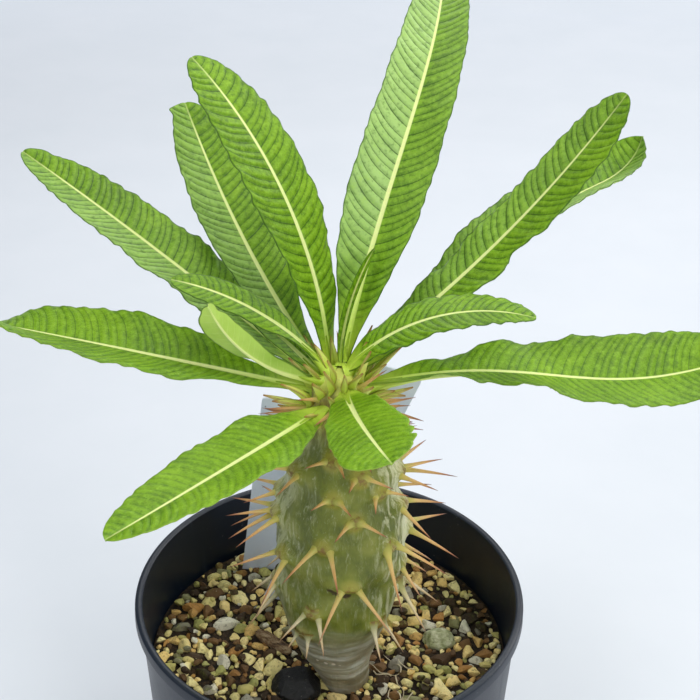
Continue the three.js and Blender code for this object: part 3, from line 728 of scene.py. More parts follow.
# The form of each leaf in degrees and millimetres. azimuth and rise are its direction at the foot and
# sweep and lift their change up to the tip, roll and twist the same about the midrib; fold is the trough,
# hook bends the last fifth, spin turns it over and bow swings the midrib up, down and up again. crease is
# the depth of the grooves between the panels, next to the other leaves'. nicks are bites in the margin:
# place along the leaf, side, depth and width, as shares. sheen is painted sheen on each half, a paler colour
# that stands in for light. widest is the place of the greatest width, slender draws the lower part in and
# tipPower makes the tip blunter. wave, waves and phase ruffle the margin, and foot is the azimuth, radius
# and height where the leaf is rooted.
leafForms = {
    "leaf_rear_tall": dict(azimuth=49, sweep=43, rise=77, lift=-76, length=127.9, width=20,
        roll=18, twist=-12, fold=21, widest=0.34, slender=1.6, foot=(84, 4.8, 164.1),
        wave=0.7, waves=4.5, phase=0.4, sheen=(0.72, 0.08)),
    "leaf_rear_left_tall": dict(azimuth=143, sweep=3, rise=86, lift=-52, length=83, width=19.5,
        roll=-1, twist=-5, fold=4, widest=0.6, slender=1.3, foot=(121, 5.1, 163.7),
        wave=0.5, waves=4, phase=2.2),
    "leaf_rear_left_wide": dict(azimuth=126, sweep=-6, rise=23, lift=21, length=85, width=19.6,
        roll=-18, twist=20, fold=16, widest=0.58, slender=2, foot=(128, 5.8, 162),
        wave=0.8, waves=3.5, phase=1.1, sheen=(0.34, 0.0), tipPower=2.8,
        nicks=[(0.982, 1, -0.6, 0.016), (0.93, -1, 0.1, 0.03)]),
    "leaf_rear_left_long": dict(azimuth=137, sweep=13, rise=16, lift=5, length=105, width=19.5,
        roll=6, twist=-22, fold=18, widest=0.42, slender=1.2, foot=(158, 6.1, 161.8),
        wave=0.9, waves=5.5, phase=3.6, sheen=(0.42, 0.06),
        nicks=[(0.93, -1, 0.16, 0.014), (0.9, -1, 0.08, 0.02)]),
    "leaf_left_young": dict(azimuth=165, sweep=4, rise=47, lift=-42, length=44, width=10.5,
        roll=-4, twist=-5, fold=3, widest=0.64, slender=1.8, foot=(166, 2.9, 165.9),
        wave=0.5, waves=3, phase=0.8),
    "leaf_left_turned": dict(azimuth=201, sweep=10, rise=16, lift=52, length=39, width=8,
        roll=13, twist=96, fold=31, widest=0.68, slender=1.2, foot=(188, 4.6, 164.4),
        wave=0.5, waves=2.5, phase=2, tipPower=4.5, nicks=[(0.9, 1, 0.25, 0.04), (0.97, -1, 0.2, 0.02)]),
    "leaf_left_inner": dict(azimuth=149, sweep=1, rise=36, lift=-13, length=25, width=7.5,
        roll=-21, twist=6, fold=21, widest=0.56, slender=1.2, foot=(172, 4.8, 164),
        wave=0.2, waves=2, phase=0),
    "leaf_left": dict(azimuth=168, sweep=-5, rise=5.9, lift=-5, length=90, width=23.5,
        roll=-27, twist=42, fold=20, widest=0.56, slender=2, foot=(177, 6.8, 160.4),
        wave=0.8, waves=4.5, phase=5, spin=75, crease=0.6,
        nicks=[(0.62, 1, 0.05, 0.03), (0.4, 1, 0.06, 0.02)]),
    "leaf_front_left": dict(azimuth=232, sweep=-12, rise=1.6, lift=-10, length=64.8, width=20.2,
        roll=-2, twist=5, fold=10, widest=0.36, slender=1.3, foot=(240, 7.1, 159.2),
        wave=0.7, waves=3.5, phase=1.7, crease=0.4),
    "leaf_front_short": dict(azimuth=275, sweep=20, rise=15, lift=-13, length=39, width=18.5,
        roll=20, twist=-4, fold=6, widest=0.82, slender=0.8, foot=(285, 5.4, 163.1),
        wave=0.6, waves=2.5, phase=0.5, crease=0.25,
        nicks=[(0.78, 1, 0.1, 0.025), (0.86, 1, 0.16, 0.022), (0.93, 1, 0.12, 0.02)]),
    "leaf_right": dict(azimuth=6, sweep=3, rise=-2.3, lift=8, length=96, width=25.5,
        roll=-11, twist=38, fold=17, widest=0.66, slender=1.3, foot=(8, 6.1, 161.9),
        wave=1.2, waves=4.5, phase=2.4, bow=11, crease=0.7,
        nicks=[(0.42, 1, 0.08, 0.02), (0.5, 1, 0.07, 0.02), (0.3, -1, 0.2, 0.02)]),
    "leaf_right_young": dict(azimuth=3, sweep=-9, rise=52, lift=-65, length=49, width=17,
        roll=11, twist=-18, fold=4, widest=0.56, slender=0.8, foot=(5, 1.5, 166.4),
        wave=0.4, waves=3, phase=4),
    "leaf_rear_right_long": dict(azimuth=26, sweep=-7, rise=28.3, lift=25.5, length=93, width=18,
        roll=11, twist=-9, fold=3, widest=0.78, slender=0.6, foot=(62, 4.7, 164.2),
        wave=0.9, waves=5, phase=2.9, sheen=(0.15, 0.0),
        nicks=[(0.5, -1, 0.2, 0.022), (0.54, -1, 0.1, 0.03)]),
    "leaf_rear_right_low": dict(azimuth=46, sweep=-10, rise=32, lift=-32, length=109, width=21,
        roll=-3, twist=3, fold=31, widest=0.64, slender=1.6, foot=(41, 6.8, 160.4),
        wave=0.7, waves=4, phase=0.9, hook=85, sheen=(0.1, 0.5), tipPower=4),
    "leaf_centre_young": dict(azimuth=49, sweep=-2, rise=92, lift=-48, length=30, width=4,
        roll=13, twist=24, fold=57, widest=0.52, slender=0.5, foot=(83, 2, 166.5),
        wave=0.1, waves=2, phase=0),
}
leafBuild = {
    "footWidth": 0.14, "tipPower": 2.2, "tipTaper": 0.5,
    "veinSpacing": 2.35, "pucker": 0.42, "frill": 0.28, "furrow": 0.22, "rowsPerVein": 7,
    "columns": ((10, 32), (3.5, 20), (0, 12)),  # above a width, so many columns
    "blade": 0.42, "margin": 0.22, "rib": 1.1, "ribWidth": 0.9, "petiole": 9.0,
}


def crownAt(z):
    return np.array([stemForm["x"] + stemForm["crownShift"], stemForm["y"] + stemForm["lean"], z])


def veinGap(form):
    return leafBuild["veinSpacing"] * (0.62 + 0.38 * min(form["length"] / 80, 1))


def halfWidths(form, t):
    grown = np.sin(np.pi / 2 * np.clip(t / form["widest"], 0, 1)) ** form["slender"]
    lower = leafBuild["footWidth"] + (1 - leafBuild["footWidth"]) * grown
    past = np.clip((t - form["widest"]) / (1 - form["widest"]), 0, 1)
    power = form.get("tipPower", leafBuild["tipPower"])
    taper = form.get("tipTaper", leafBuild["tipTaper"])
    upper = np.clip(1 - past ** power, 0.0006, 1) ** taper
    return form["width"] / 2 * np.where(t < form["widest"], lower, upper)


def midrib(form, t):  # for rising values of t: the midrib's places and the frame that rides along it
    footAzimuth, footRadius, footHeight = form["foot"]
    end = np.clip((t - 0.8) / 0.2, 0, 1) ** 2
    azimuth = np.radians(form["azimuth"] + form["sweep"] * t)
    bow = form.get("bow", 0) * np.cos(2 * np.pi * t)
    rise = np.radians(form["rise"] + form["lift"] * t + form.get("hook", 0) * end + bow)
    roll = np.radians(form["roll"] + form["twist"] * t + form.get("spin", 0) * end)
    along = np.stack([np.cos(rise) * np.cos(azimuth), np.cos(rise) * np.sin(azimuth), np.sin(rise)], 1)
    level = np.stack([-np.sin(azimuth), np.cos(azimuth), 0 * azimuth], 1)
    above = np.cross(along, level)
    across = level * np.cos(roll)[:, None] + above * np.sin(roll)[:, None]
    up = np.cross(along, across)
    paces = np.diff(t)[:, None] * form["length"] * (along[1:] + along[:-1]) / 2
    aside = math.radians(footAzimuth)
    foot = crownAt(footHeight) + footRadius * np.array([math.cos(aside), math.sin(aside), 0])
    return foot + np.vstack([np.zeros((1, 3)), np.cumsum(paces, 0)]), across, up


def veinPhase(form, t, s, half, seed):  # whole numbers lie on the side veins, which curve towards the tip
    reach = np.abs(s) * half
    slanted = t * form["length"] - 0.36 * reach - 0.3 * reach * s * s
    uneven = 0.13 * np.sin(slanted * 0.9 + seed) + 0.15 * np.sin(slanted * 0.37 + 2 * seed + 1.2 * s)
    uneven = uneven + 0.045 * np.sin(slanted * 2.3 + 3 * np.abs(s) + 3 * seed)
    return slanted / veinGap(form) + uneven + np.where(s > 0, 0.43, 0)


def makeBlade(name, form, seed):
    rows = int(form["length"] / veinGap(form) * leafBuild["rowsPerVein"])
    columns = next(count for width, count in leafBuild["columns"] if form["width"] > width)
    leaf, wide, lengthwise = sheet(name + "_blade", columns, rows)
    levels, row = np.unique(np.round(lengthwise, 5), return_inverse=True)
    tRow = np.sin(np.pi / 2 * (levels + 1) / 2) ** 1.15
    middle, across, up = midrib(form, tRow)
    t, s = tRow[row], np.sign(wide) * np.abs(wide) ** 1.1
    half = halfWidths(form, t)
    for place, side, depth, width in form.get("nicks", ()):
        half = half * (1 - depth * np.exp(-((t - place) / width) ** 2) * (s * side > 0))
    phase = veinPhase(form, t, s, half, seed)
    reach = np.abs(s) * half
    edge = half - reach

    # the trough, the waved and slightly rolled margin and the puckered panels between the side veins
    fold = math.radians(form["fold"])
    swing = form["wave"] * np.sin(np.pi * np.minimum(t * 1.5, 1))
    turn = 2 * np.pi * form["waves"] * t + form["phase"] + np.where(s > 0, 2.1, 0)
    rounded = np.sqrt(s * s + 0.0025) - 0.05
    height = half * rounded * math.sin(fold) + swing * s * s * np.sin(turn)
    height += 0.05 - 0.03 * half * s ** 4
    bare = smooth(0.3, 1.6, reach) * (1 - 0.55 * smooth(0.75, 1, np.abs(s))) * smooth(2.5, 6, half)
    panel = np.abs(np.sin(np.pi * phase)) ** 0.6
    size = min(form["width"] / 20, 1)
    crease = form.get("crease", 1.0)
    height += leafBuild["pucker"] * size * blend(0.2, 1, crease) * (panel - 0.6) * bare
    frill = leafBuild["frill"] * size * blend(0.25, 1, crease)
    height += frill * smooth(0.6, 1, np.abs(s)) * np.sin(2 * np.pi * phase / 2.3 + seed) * smooth(3, 7, half)
    height -= leafBuild["furrow"] * np.exp(-(reach / 0.5) ** 2) * smooth(0, 0.1, t)
    ruffle = 1 + 0.012 * np.sin(2 * np.pi * phase / 1.9) + 0.014 * np.sin(turn * 1.7 + seed)
    sideways = half * s * math.cos(fold) * ruffle
    points = middle[row] + across[row] * sideways[:, None] + up[row] * height[:, None]
    setPlaces(leaf, points)
    count = len(points)
    applyModifier(leaf, "SOLIDIFY", thickness=0.3 * mm, offset=-1)
    both = places(leaf)
    thick = leafBuild["margin"] + (leafBuild["blade"] - leafBuild["margin"]) * smooth(0, 2.5, edge)
    ribWidth = leafBuild["ribWidth"] * (1 - 0.45 * t)
    ribs = leafBuild["rib"] * (1 - 0.8 * t) * np.exp(-(reach / ribWidth) ** 2)
    thick = thick + ribs + 0.9 * (1 - smooth(0, 0.16, t)) * np.clip(1 - s * s, 0, 1) ** 0.5
    both[count:] = points - up[row] * thick[:, None]
    setPlaces(leaf, both)
    # painted sheen: a paler colour laid on each half of the blade
    leftSheen, rightSheen = form.get("sheen", (0, 0))
    sheen = np.where(s > 0, leftSheen, rightSheen) * smooth(0.08, 0.35, t) * (1 - 0.5 * smooth(0.7, 1, t))
    told = {"along": t, "reach": reach, "edge": edge, "veins": phase, "sheen": sheen,
            "crease": np.full(count, crease)}
    for key, values in told.items():
        setValues(leaf, key, np.tile(values, 2))
    setValues(leaf, "under", np.repeat([0.0, 1.0], count))
    return leaf


def makePetiole(form):  # the thick pale foot that carries the blade out of the crown
    reach = min(leafBuild["petiole"], 0.16 * form["length"] + 2)
    paces = np.linspace(0, 1, 9)
    middle, unused, up = midrib(form, paces * reach / form["length"])
    girth = blend(0.65, 1.12, min(form["width"] / 20, 1))
    middle -= up * (0.25 + 0.75 * girth * (1 - paces))[:, None]
    heart = crownAt(form["foot"][2] - 1.2)
    inner = [heart + (middle[0] - heart) * share for share in (0.35, 0.7)]
    radii = [2.5 * girth, 2.4 * girth] + [blend(2.1, 0.3, pace ** 0.8) * girth for pace in paces]
    petiole, along = tube("petiole", [*inner, *middle], radii, 20, 0.72)
    told = {"along": along * 0.12, "reach": 9, "edge": 9, "veins": 0.5, "crease": 0, "sheen": 0, "under": 0}
    for key, values in told.items():
        setValues(petiole, key, along * 0 + values)
    weld(petiole)
    return petiole


def leafFinish():
    finish = Finish("leaf", Subsurface_Weight=0.08, Subsurface_Scale=0.001, Specular_IOR_Level=0.32)
    finish.shader.inputs["Subsurface Radius"].default_value = (0.5, 1.0, 0.15)
    along, reach, edge = finish.attributes("along", "reach", "edge")
    veins, under, crease, sheen = finish.attributes("veins", "under", "crease", "sheen")
    fromVein = (veins + 0.5).math("FRACT", veins + 0.5) - 0.5
    nearVein = fromVein.math("ABSOLUTE", fromVein)
    patch, fine = finish.noise(9, 3), finish.noise(1.3, 4, 0.65)
    cells = finish.node("ShaderNodeTexVoronoi", {"feature": "DISTANCE_TO_EDGE"},
                        {"Vector": finish.position(), "Scale": 1 / (0.75 * mm)})
    net = finish.step(cells, 0.14, 0.0)
    # the side-vein grooves: above they darken as painted shade in the creases, below they draw pale vein
    # lines
    groovesAndShade = finish.step(nearVein + (fine - 0.5) * 0.08, 0.075, 0.01) * finish.step(edge, 0.2, 1.6) * crease
    # slope paints shade on one side of each panel, next to its vein
    slope = finish.step(fromVein, 0.42, 0.03) * finish.step(fromVein, -0.01, 0.01) * crease

    # satin green above, its panels lighter in the middle as a painted highlight on their puffed tops; a pale
    # matt underside
    upper = finish.tones(patch * 0.6 + fine * 0.4, (0.32, 78, 114, 4), (0.5, 102, 144, 10),
                         (0.7, 130, 170, 26))
    upper = finish.over(upper, (finish.step(nearVein, 0.12, 0.5) * 0.34, 138, 178, 40),
                        (net * 0.2, 150, 190, 54),
                        # painted sheen: the paler half of the blade
                        (sheen * (0.7 + patch * 0.6), 172, 206, 124),
                        (slope * 0.32, 66, 104, 4),
                        (finish.step(fine, 0.5, 0.3) * (0.15 + crease * 0.35), 62, 98, 4),
                        (finish.step(fine, 0.54, 0.74) * 0.4, 156, 196, 70),
                        (groovesAndShade * 0.8, 46, 80, 4))
    lower = finish.tones(patch, (0.3, 156, 190, 76), (0.7, 180, 208, 98))
    lower = finish.over(lower, (groovesAndShade * 0.4, 190, 216, 116))
    colour = finish.mix(under, upper, lower)

    # cream midrib that narrows to the tip, a lime foot and a dark rim
    rib = finish.step(reach / (0.9 - along * 0.66), 1.0, 0.6) * finish.step(along, 0.84, 1.0, 1.0, 0.35)
    ribColour = finish.mix(finish.step(along, 0.0, 0.3), tone(200, 226, 98), tone(224, 234, 152))
    colour = finish.over(colour, (finish.step(along, 0.03, 0.15, 0.9, 0.0), 184, 210, 74))
    colour = finish.mix(rib, colour, ribColour)
    rim = finish.mix(crease, tone(156, 192, 60), tone(48, 84, 4))
    colour = finish.mix(finish.step(edge, 0.05, 0.4, 0.75, 0.0), colour, rim)
    rough = 0.34 + fine * 0.18 + under * 0.12
    bumps = finish.bump(fine * 0.6 - net * 0.4 - groovesAndShade * 0.5 + finish.noise(0.4, 2) * 0.5, 0.07)
    return finish.surface(Base_Color=colour, Roughness=rough, Normal=bumps)


def makeLeaf(name, form, seed):
    leaf = joined([makeBlade(name, form, seed), makePetiole(form)], name + "_blade")
    shadeSmooth(leaf)
    return leaf


leafMaterial = leafFinish()
for number, (nodeName, leafForm) in enumerate(leafForms.items()):
    dress(makeLeaf(nodeName, leafForm, 1.7 * number), leafMaterial, "leaf", nodeName)
print("leaves grown:", len(leafForms))


# Scales of the crown: short pointed bracts between the leaf feet

scaleForm = {
    "count": 36, "firstHeight": 152, "step": 0.38, "firstAzimuth": 30, "turn": 137.5,
    "rises": (14, 78), "lengths": (7, 12), "widths": (1.6, 2.7), "sunk": 0.6, "seed": 31,
    # the long ones: azimuth, height, length, width and rise
    "long": [(28, 160, 14, 2.6, 50), (55, 162, 13, 2.6, 62), (-12, 159, 10, 2.6, 26),
             (8, 157, 11, 2.4, 18), (196, 157, 10, 2.8, 22), (214, 155, 9, 2.4, 10),
             (150, 161, 11, 2.4, 48), (-60, 163.5, 8, 2.2, 58), (-110, 163, 9, 2.2, 62)],
    # what all of them share, as for a leaf
    "blade": dict(twist=0, fold=24, widest=0.22, slender=0.5, wave=0.1, waves=1, tipPower=1.1, tipTaper=1.0),
}


def makeScales():
    form = scaleForm
    draw = random.Random(form["seed"])
    rows = list(form["long"])
    for i in range(form["count"]):
        rise = blend(*form["rises"], i / (form["count"] - 1)) + draw.uniform(-8, 8)
        rows.append((*spiral(form, i), draw.uniform(*form["lengths"]), draw.uniform(*form["widths"]), rise))
    scales = []
    for i, (azimuth, height, length, width, rise) in enumerate(rows):
        foot = (azimuth, stemAt(height)[0] - form["sunk"], height)
        shape = dict(sweep=draw.uniform(-20, 20), lift=draw.uniform(-30, 5), roll=draw.uniform(-15, 15),
                     azimuth=azimuth, rise=rise, length=length, width=width, foot=foot, phase=i,
                     **form["blade"])
        scales.append(makeBlade("scale", shape, i))
    whole = joined(scales, "crown_scales")
    shadeSmooth(whole)
    return whole


def scaleFinish():
    finish = Finish("crown scales", Subsurface_Weight=0.1, Subsurface_Scale=0.001)
    along, edge = finish.attributes("along", "edge")
    spots = finish.noise(2, 3)
    colour = finish.tones(along + (spots - 0.5) * 0.3, (0.05, 150, 168, 46), (0.3, 200, 216, 88),
                          (0.8, 220, 224, 126), (0.94, 190, 152, 84), (1.0, 130, 86, 54))
    colour = finish.over(colour, (finish.step(edge, 0.0, 0.3, 0.6, 0.0), 140, 108, 52))
    return finish.surface(Base_Color=colour, Roughness=0.45 + spots * 0.15, Normal=finish.bump(spots, 0.06))


dress(makeScales(), scaleFinish(), "leaf")
print("crown scales grown")


# Labels

labelForms = {
    "label_left": {"x": -20, "y": 33.5, "above": 59.5, "lean": 6.5, "width": 13},
    "label_right": {"x": -13, "y": 20, "above": 83, "lean": 22, "width": 12},
}
labelBuild = {"length": 102, "thickness": 0.8, "corner": 1.3, "edge": 0.12, "ground": 70.6}


def makeLabel(name, form):
    wide, above = form["width"] / 2, form["above"]
    point = above - labelBuild["length"]
    bpy.ops.mesh.primitive_circle_add(vertices=5, radius=1, fill_type="NGON")
    label = added(name + "_strip")
    shoulder = point + form["width"]
    outline = [(-wide, above), (-wide, shoulder), (0, point), (wide, shoulder), (wide, above)]
    setPlaces(label, [(x, 0, z) for x, z in outline])
    inEditMode(label)
    bpy.ops.mesh.select_all(action="SELECT")
    bpy.ops.mesh.bevel(offset=labelBuild["corner"] * mm, segments=5, affect="VERTICES")
    bpy.ops.object.mode_set(mode="OBJECT")
    applyModifier(label, "SOLIDIFY", thickness=labelBuild["thickness"] * mm, offset=0)
    applyModifier(label, "BEVEL", width=labelBuild["edge"] * mm, segments=2, limit_method="ANGLE")
    label.rotation_euler = (0, math.radians(form["lean"]), 0)
    label.location = Vector((form["x"], form["y"], labelBuild["ground"])) * mm
    selectOnly(label)
    bpy.ops.object.transform_apply(location=True, rotation=True, scale=True)
    weld(label, 0.0001)
    shadeSmooth(label, 35)
    return label


def labelFinish():
    finish = Finish("label plastic")
    height = finish.axis("Z")
    dust = finish.noise(7, 4)
    colour = finish.tones(dust, (0.35, 210, 220, 236), (0.65, 226, 234, 246))
    speck = finish.step(finish.noise(1.6, 1), 0.76, 0.8)
    # dust low on the label together with painted shade: the colour turns darker and browner towards the
    # bottom
    dustAndShadeLow = finish.step(height, 0.084, 0.07) * finish.step(dust, 0.35, 0.6)
    colour = finish.over(colour, (speck * 0.7, 70, 68, 66), (dustAndShadeLow * 0.3, 140, 130, 112))
    return finish.surface(Base_Color=colour, Roughness=0.38 + dust * 0.1, Normal=finish.bump(dust, 0.05))


labelMaterial = labelFinish()
for nodeName, labelForm in labelForms.items():
    dress(makeLabel(nodeName, labelForm), labelMaterial, "label", nodeName)
print("labels stand")


# Soil: a dark bed, the grit on it and the single pieces

soilForm = {
    "top": 70.6, "bed": 69.9, "bottom": 2.1, "rings": 34, "clear": 0.3,
    "pebbles": 60, "smallest": 1.7, "largest": 3.2, "seed": 7,
    # between the pebbles: size and tries; then how many loose ones on top
    "sizes": ((2.1, 420), (1.5, 900), (1.1, 1700), (0.75, 3600)), "onTop": 170, "cell": 6,
    "pebbleSpacing": 0.8, "spacing": 0.84,
}
stoneForm = {"flats": 9, "roughness": 0.16, "long": 1.35, "broad": (0.85, 1.15), "big": 1.7, "sunk": 0.25}
# flats: direction and distance of each; rough: depth, size and seed of the unevenness
charcoalForm = {
    "x": -8.4, "y": -17.4, "size": 6.8, "lift": 0.6, "stretch": (1.0, 0.88, 0.74), "pressed": 0.85,
    "flats": (((0, -0.5, 0.87), 4.4), ((0.8, 0.1, 0.6), 5.2), ((-0.75, -0.2, 0.6), 5.2), ((0, 0, 1), 4.6)),
    "rough": ((0.06, 3.5, 2), (0.02, 0.9, 6)),
}
broadStoneForm = {
    "x": 30.7, "y": 2.5, "size": 5.0, "lift": 0.1, "stretch": (0.95, 0.72, 0.55), "pressed": 0.8,
    "flats": (((0, -0.6, 0.8), 3.4), ((0.9, 0, 0.44), 4.0), ((-0.8, -0.3, 0.5), 4.0)),
    "rough": ((0.09, 2.6, 3), (0.05, 0.7, 7)),
}
barkForm = {"x": -15.5, "y": 0.0, "length": 13.0, "width": 3.4, "thick": 2.4, "turn": -40, "lift": 0.5}
rootletForm = {"count": 9, "points": 12, "pace": 0.75, "lift": 1.2, "x": (12, 24), "y": (-24, -10),
               "thick": 0.2, "thin": 0.07}


def makeBed():
    form = soilForm
    rim = potInner(form["bed"]) - form["clear"]
    rings = [(potInner(form["bottom"]) - form["clear"], form["bottom"]), (rim, form["bed"] - 0.6)]
    rings += [(rim * (1 - i / form["rings"]) + 0.01, form["bed"]) for i in range(form["rings"] + 1)]
    bed = turned("soil_bed", rings, 120)
    points = places(bed)
    up = smooth(form["bed"] - 0.3, form["bed"] - 0.1, points[:, 2])
    points[:, 2] += up * (0.35 * roughness3d(points, 3.0, 4) + 0.25 * roughness3d(points, 1.1, 8, 2))
    setPlaces(bed, points)
    shadeSmooth(bed, 50)
    return bed


def pressFlat(points, side, distance, share=1.0):  # press what lies past a flat back towards it
    past = np.maximum(points @ np.array(side) - distance, 0)
    points -= share * past[:, None] * np.array(side)


def stoneShapes(count, detail, flatness):  # angular pebbles: a sphere with flats on it
    form = stoneForm
    draw = random.Random(11 + count)
    shapes = []
    for i in range(count):
        shape = ball("stone", detail, 1)
        points = places(shape)
        for unused in range(form["flats"]):
            side = np.array([draw.gauss(0, 1), draw.gauss(0, 1), draw.gauss(0, 1)])
            pressFlat(points, side / np.linalg.norm(side), draw.uniform(0.5, 0.8))
        points *= 1 + form["roughness"] * roughness3d(points, 0.9, 5 * i)[:, None]
        points *= (form["long"], blend(*form["broad"], draw.random()), flatness * 1.2)
        setPlaces(shape, points)
        shadeSmooth(shape, 38)
        shapes.append(shape)
    return shapes


def freeSpots():  # x, y, size and lift of every stone: big ones by the pebble rule, then smaller ones
    form = soilForm
    edge = potInner(form["top"]) - 2
    pebbleDraw = drawsFrom(form["seed"])
    golden = math.pi * (3 - math.sqrt(5))
    spots = []
    taken = [(charcoalForm["x"], charcoalForm["y"], 5.2), (broadStoneForm["x"], broadStoneForm["y"], 4.4),
             (stemForm["x"] + 2, stemForm["y"], 6.3)]
    taken += [(barkForm["x"] + 3.4 * side, barkForm["y"] - 2.9 * side, 1.6 - 0.2 * abs(side))
              for side in (0, 1, -1)]
    for label in labelForms.values():
        taken += [(label["x"] + share * label["width"] / 2, label["y"], 0.5)
                  for share in (-1, -0.5, 0, 0.5, 1)]
    cells = {}

    def cellOf(x, y):
        return int(x // form["cell"]), int(y // form["cell"])

    def isFree(x, y, size, spare):
        column, line = cellOf(x, y)
        near = [(column + i, line + j) for i in (-1, 0, 1) for j in (-1, 0, 1)]
        return all(math.hypot(x - otherX, y - otherY) >= (size + other) * spare
                   for cell in near for otherX, otherY, other in cells.get(cell, ()))

    def take(x, y, size):
        cells.setdefault(cellOf(x, y), []).append((x, y, size))

    for one in taken:
        take(*one)
    for i in range(form["pebbles"]):
        size = blend(form["smallest"], form["largest"], next(pebbleDraw) ** 2)
        radius = math.sqrt((i + 0.5) / form["pebbles"]) * (edge - size * 1.3)
        angle = golden * i + next(pebbleDraw)
        for unused in range(6):
            next(pebbleDraw)
        x, y = radius * math.cos(angle), radius * math.sin(angle)
        if isFree(x, y, size, form["pebbleSpacing"]):
            take(x, y, size)
            spots.append((x, y, size, -0.1 * size))
    draw = random.Random(3)
    for size, tries in form["sizes"]:
        for unused in range(tries):
            radius = math.sqrt(draw.random()) * (potInner(form["top"]) - 0.8 - size * 0.8)
            angle = draw.uniform(0, 2 * math.pi)
            x, y, own = radius * math.cos(angle), radius * math.sin(angle), size * draw.uniform(0.82, 1.15)
            if isFree(x, y, own, form["spacing"]):
                take(x, y, own)
                spots.append((x, y, own, draw.uniform(-0.45, 0.1)))
    for unused in range(form["onTop"]):
        radius, angle = math.sqrt(draw.random()) * (edge - 1.5), draw.uniform(0, 2 * math.pi)
        x, y, own = radius * math.cos(angle), radius * math.sin(angle), draw.uniform(0.7, 1.5)
        if all(math.hypot(x - otherX, y - otherY) > own + size for otherX, otherY, size in taken):
            spots.append((x, y, own, draw.uniform(0.6, 1.3)))
    return spots


def placeStone(shape, spot, draw):
    x, y, size, lift = spot
    turn = Matrix.Rotation(draw.uniform(0, 6.3), 4, "Z") @ Matrix.Rotation(draw.uniform(-0.45, 0.45), 4, "X")
    stone = linked("stone", shape.data.copy())
    place = Matrix.Translation(Vector((x, y, soilForm["top"] - stoneForm["sunk"] + lift)) * mm)
    stone.data.transform(place @ turn @ Matrix.Scale(size, 4))
    setValues(stone, "stone", np.full(len(stone.data.vertices), draw.random()))
    return stone


def makeGrit():
    draw = random.Random(17)
    small, big = stoneShapes(8, 2, 0.72), stoneShapes(5, 3, 0.66)
    stones = [placeStone(draw.choice(big if spot[2] > stoneForm["big"] else small), spot, draw)
              for spot in freeSpots()]
    half = len(stones) // 2
    pieces = [joined(stones[:half], "grit_one"), joined(stones[half:], "grit_two")]
    for shape in small + big:
        bpy.data.objects.remove(shape)
    print("stones placed:", len(stones))
    return pieces


def makeLump(name, form):  # a rough ball with flats on it
    lump = ball(name, 5, form["size"])
    points = places(lump)
    for side, distance in form["flats"]:
        pressFlat(points, side, distance, form["pressed"])
    points *= form["stretch"]
    points *= 1 + sum(depth * roughness3d(points, size, seed) for depth, size, seed in form["rough"])[:, None]
    setPlaces(lump, points + (form["x"], form["y"], soilForm["top"] + form["lift"]))
    shadeSmooth(lump)
    return lump


def makeBark():
    form = barkForm
    chip = ball("bark_chip", 5, 0.5)
    points = places(chip)
    points = np.sign(points) * np.abs(points * 2) ** 0.7 / 2
    ridges = 0.05 * np.sin(points[:, 1] * 34 + 2 * points[:, 0])
    ridges += 0.12 * roughness3d(points * (2, 6, 6), 1, 5)
    points *= (form["length"], form["width"], form["thick"])
    points[:, 2] += ridges * 2.2
    turn = np.array(Matrix.Rotation(math.radians(form["turn"]), 3, "Z"))
    setPlaces(chip, points @ turn.T + (form["x"], form["y"], soilForm["top"] + form["lift"]))
    shadeSmooth(chip)
    return chip


def makeRootlets():  # thin pale roots that lie on the grit in front of the stem
    form = rootletForm
    draw = random.Random(29)
    fibres = []
    for i in range(form["count"]):
        x, y, heading = draw.uniform(*form["x"]), draw.uniform(*form["y"]), draw.uniform(0, 6.3)
        path = []
        for step in range(form["points"]):
            path.append(Vector((x, y, soilForm["top"] + form["lift"] + 0.5 * math.sin(step * 0.8 + i))))
            heading += draw.uniform(-0.5, 0.5)
            x, y = x + form["pace"] * math.cos(heading), y + form["pace"] * math.sin(heading)
        radii = np.linspace(form["thick"], form["thin"], form["points"])
        fibres.append(tube("fibre", path, radii, 6)[0])
    rootlets = joined(fibres, "rootlets")
    weld(rootlets)
    shadeSmooth(rootlets)
    return rootlets


def bedFinish():
    finish = Finish("dark fines", Roughness=0.95)
    crumbs = finish.noise(1.2, 4, 0.7)
    colour = finish.tones(crumbs, (0.35, 22, 17, 12), (0.52, 48, 36, 24), (0.68, 84, 66, 42))
    return finish.surface(Base_Color=colour, Normal=finish.bump(crumbs + finish.noise(0.5, 2), 0.5))


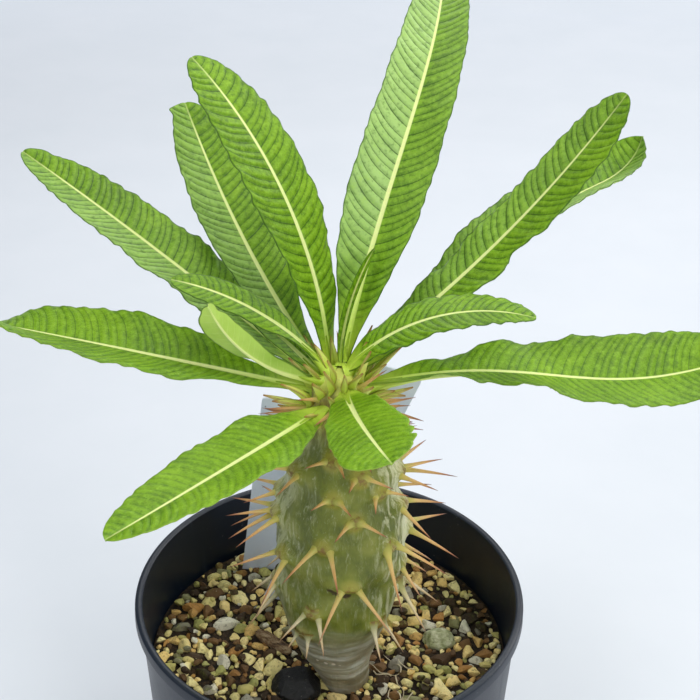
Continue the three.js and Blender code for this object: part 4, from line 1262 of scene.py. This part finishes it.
def gritFinish():  # tan and cream stones with some dark, grey and white ones among them
    finish = Finish("grit")
    tint = finish.attributes("stone")[0]
    mottle = finish.noise(1.0, 4, 0.65)
    grain, moss = finish.noise(0.3, 2), finish.noise(9, 3)
    colour = finish.tones(tint, (0.0, 44, 34, 24), (0.16, 78, 58, 38), (0.28, 130, 96, 58),
                          (0.37, 186, 134, 72), (0.44, 246, 210, 130), (0.62, 255, 240, 172),
                          (0.74, 222, 206, 128), (0.83, 168, 168, 96), (0.91, 128, 124, 110),
                          (0.98, 236, 230, 206))
    mossy = finish.step(moss, 0.52, 0.66) * finish.step(mottle, 0.4, 0.6)
    colour = finish.over(colour, (mossy * 0.45, 132, 140, 58),
                         (finish.step(mottle, 0.5, 0.34) * 0.45, 84, 66, 38),
                         (finish.step(mottle, 0.6, 0.75) * 0.4, 236, 222, 180),
                         (finish.step(grain, 0.62, 0.7) * 0.3, 60, 48, 30))
    bumps = finish.bump(mottle + grain * 0.5, 0.25)
    return finish.surface(Base_Color=colour, Roughness=0.72 + grain * 0.2, Normal=bumps)


def charcoalFinish():
    finish = Finish("charcoal")
    pores = finish.noise(0.9, 4, 0.7)
    colour = finish.tones(pores, (0.4, 12, 12, 14), (0.7, 34, 34, 38))
    # the pale specks are painted glints
    colour = finish.over(colour, (finish.step(finish.noise(0.5, 1), 0.74, 0.8) * 0.8, 190, 186, 170))
    return finish.surface(Base_Color=colour, Roughness=0.4 + pores * 0.25, Normal=finish.bump(pores, 0.3))


def broadStoneFinish():
    finish = Finish("broad stone", Roughness=0.8)
    moss, pits = finish.noise(2.2, 4, 0.6), finish.noise(0.7, 3)
    colour = finish.tones(moss, (0.35, 140, 146, 98), (0.55, 184, 186, 148), (0.7, 212, 210, 178))
    colour = finish.over(colour, (finish.step(pits, 0.42, 0.3) * 0.6, 84, 86, 48))
    return finish.surface(Base_Color=colour, Normal=finish.bump(pits + moss, 0.35))


def barkFinish():
    finish = Finish("bark", Roughness=0.85)
    fibres = finish.noise(1.1, 4, 0.6, finish.stretched(0.25, 1, 1, -barkForm["turn"]))
    colour = finish.tones(fibres, (0.35, 74, 56, 40), (0.5, 128, 102, 74), (0.66, 168, 148, 116))
    return finish.surface(Base_Color=colour, Normal=finish.bump(fibres, 0.3))


def rootletFinish():
    finish = Finish("rootlets", Roughness=0.6)
    colour = finish.tones(finish.noise(2, 3), (0.3, 186, 168, 128), (0.7, 224, 212, 182))
    return finish.surface(Base_Color=colour)


dress(makeBed(), bedFinish(), "soil", "soil")
gritMaterial = gritFinish()
for grit in makeGrit():
    dress(grit, gritMaterial, "soil")
dress(makeLump("charcoal", charcoalForm), charcoalFinish(), "soil")
dress(makeLump("broad_stone", broadStoneForm), broadStoneFinish(), "soil")
dress(makeBark(), barkFinish(), "soil")
dress(makeRootlets(), rootletFinish(), "soil")
print("soil laid")
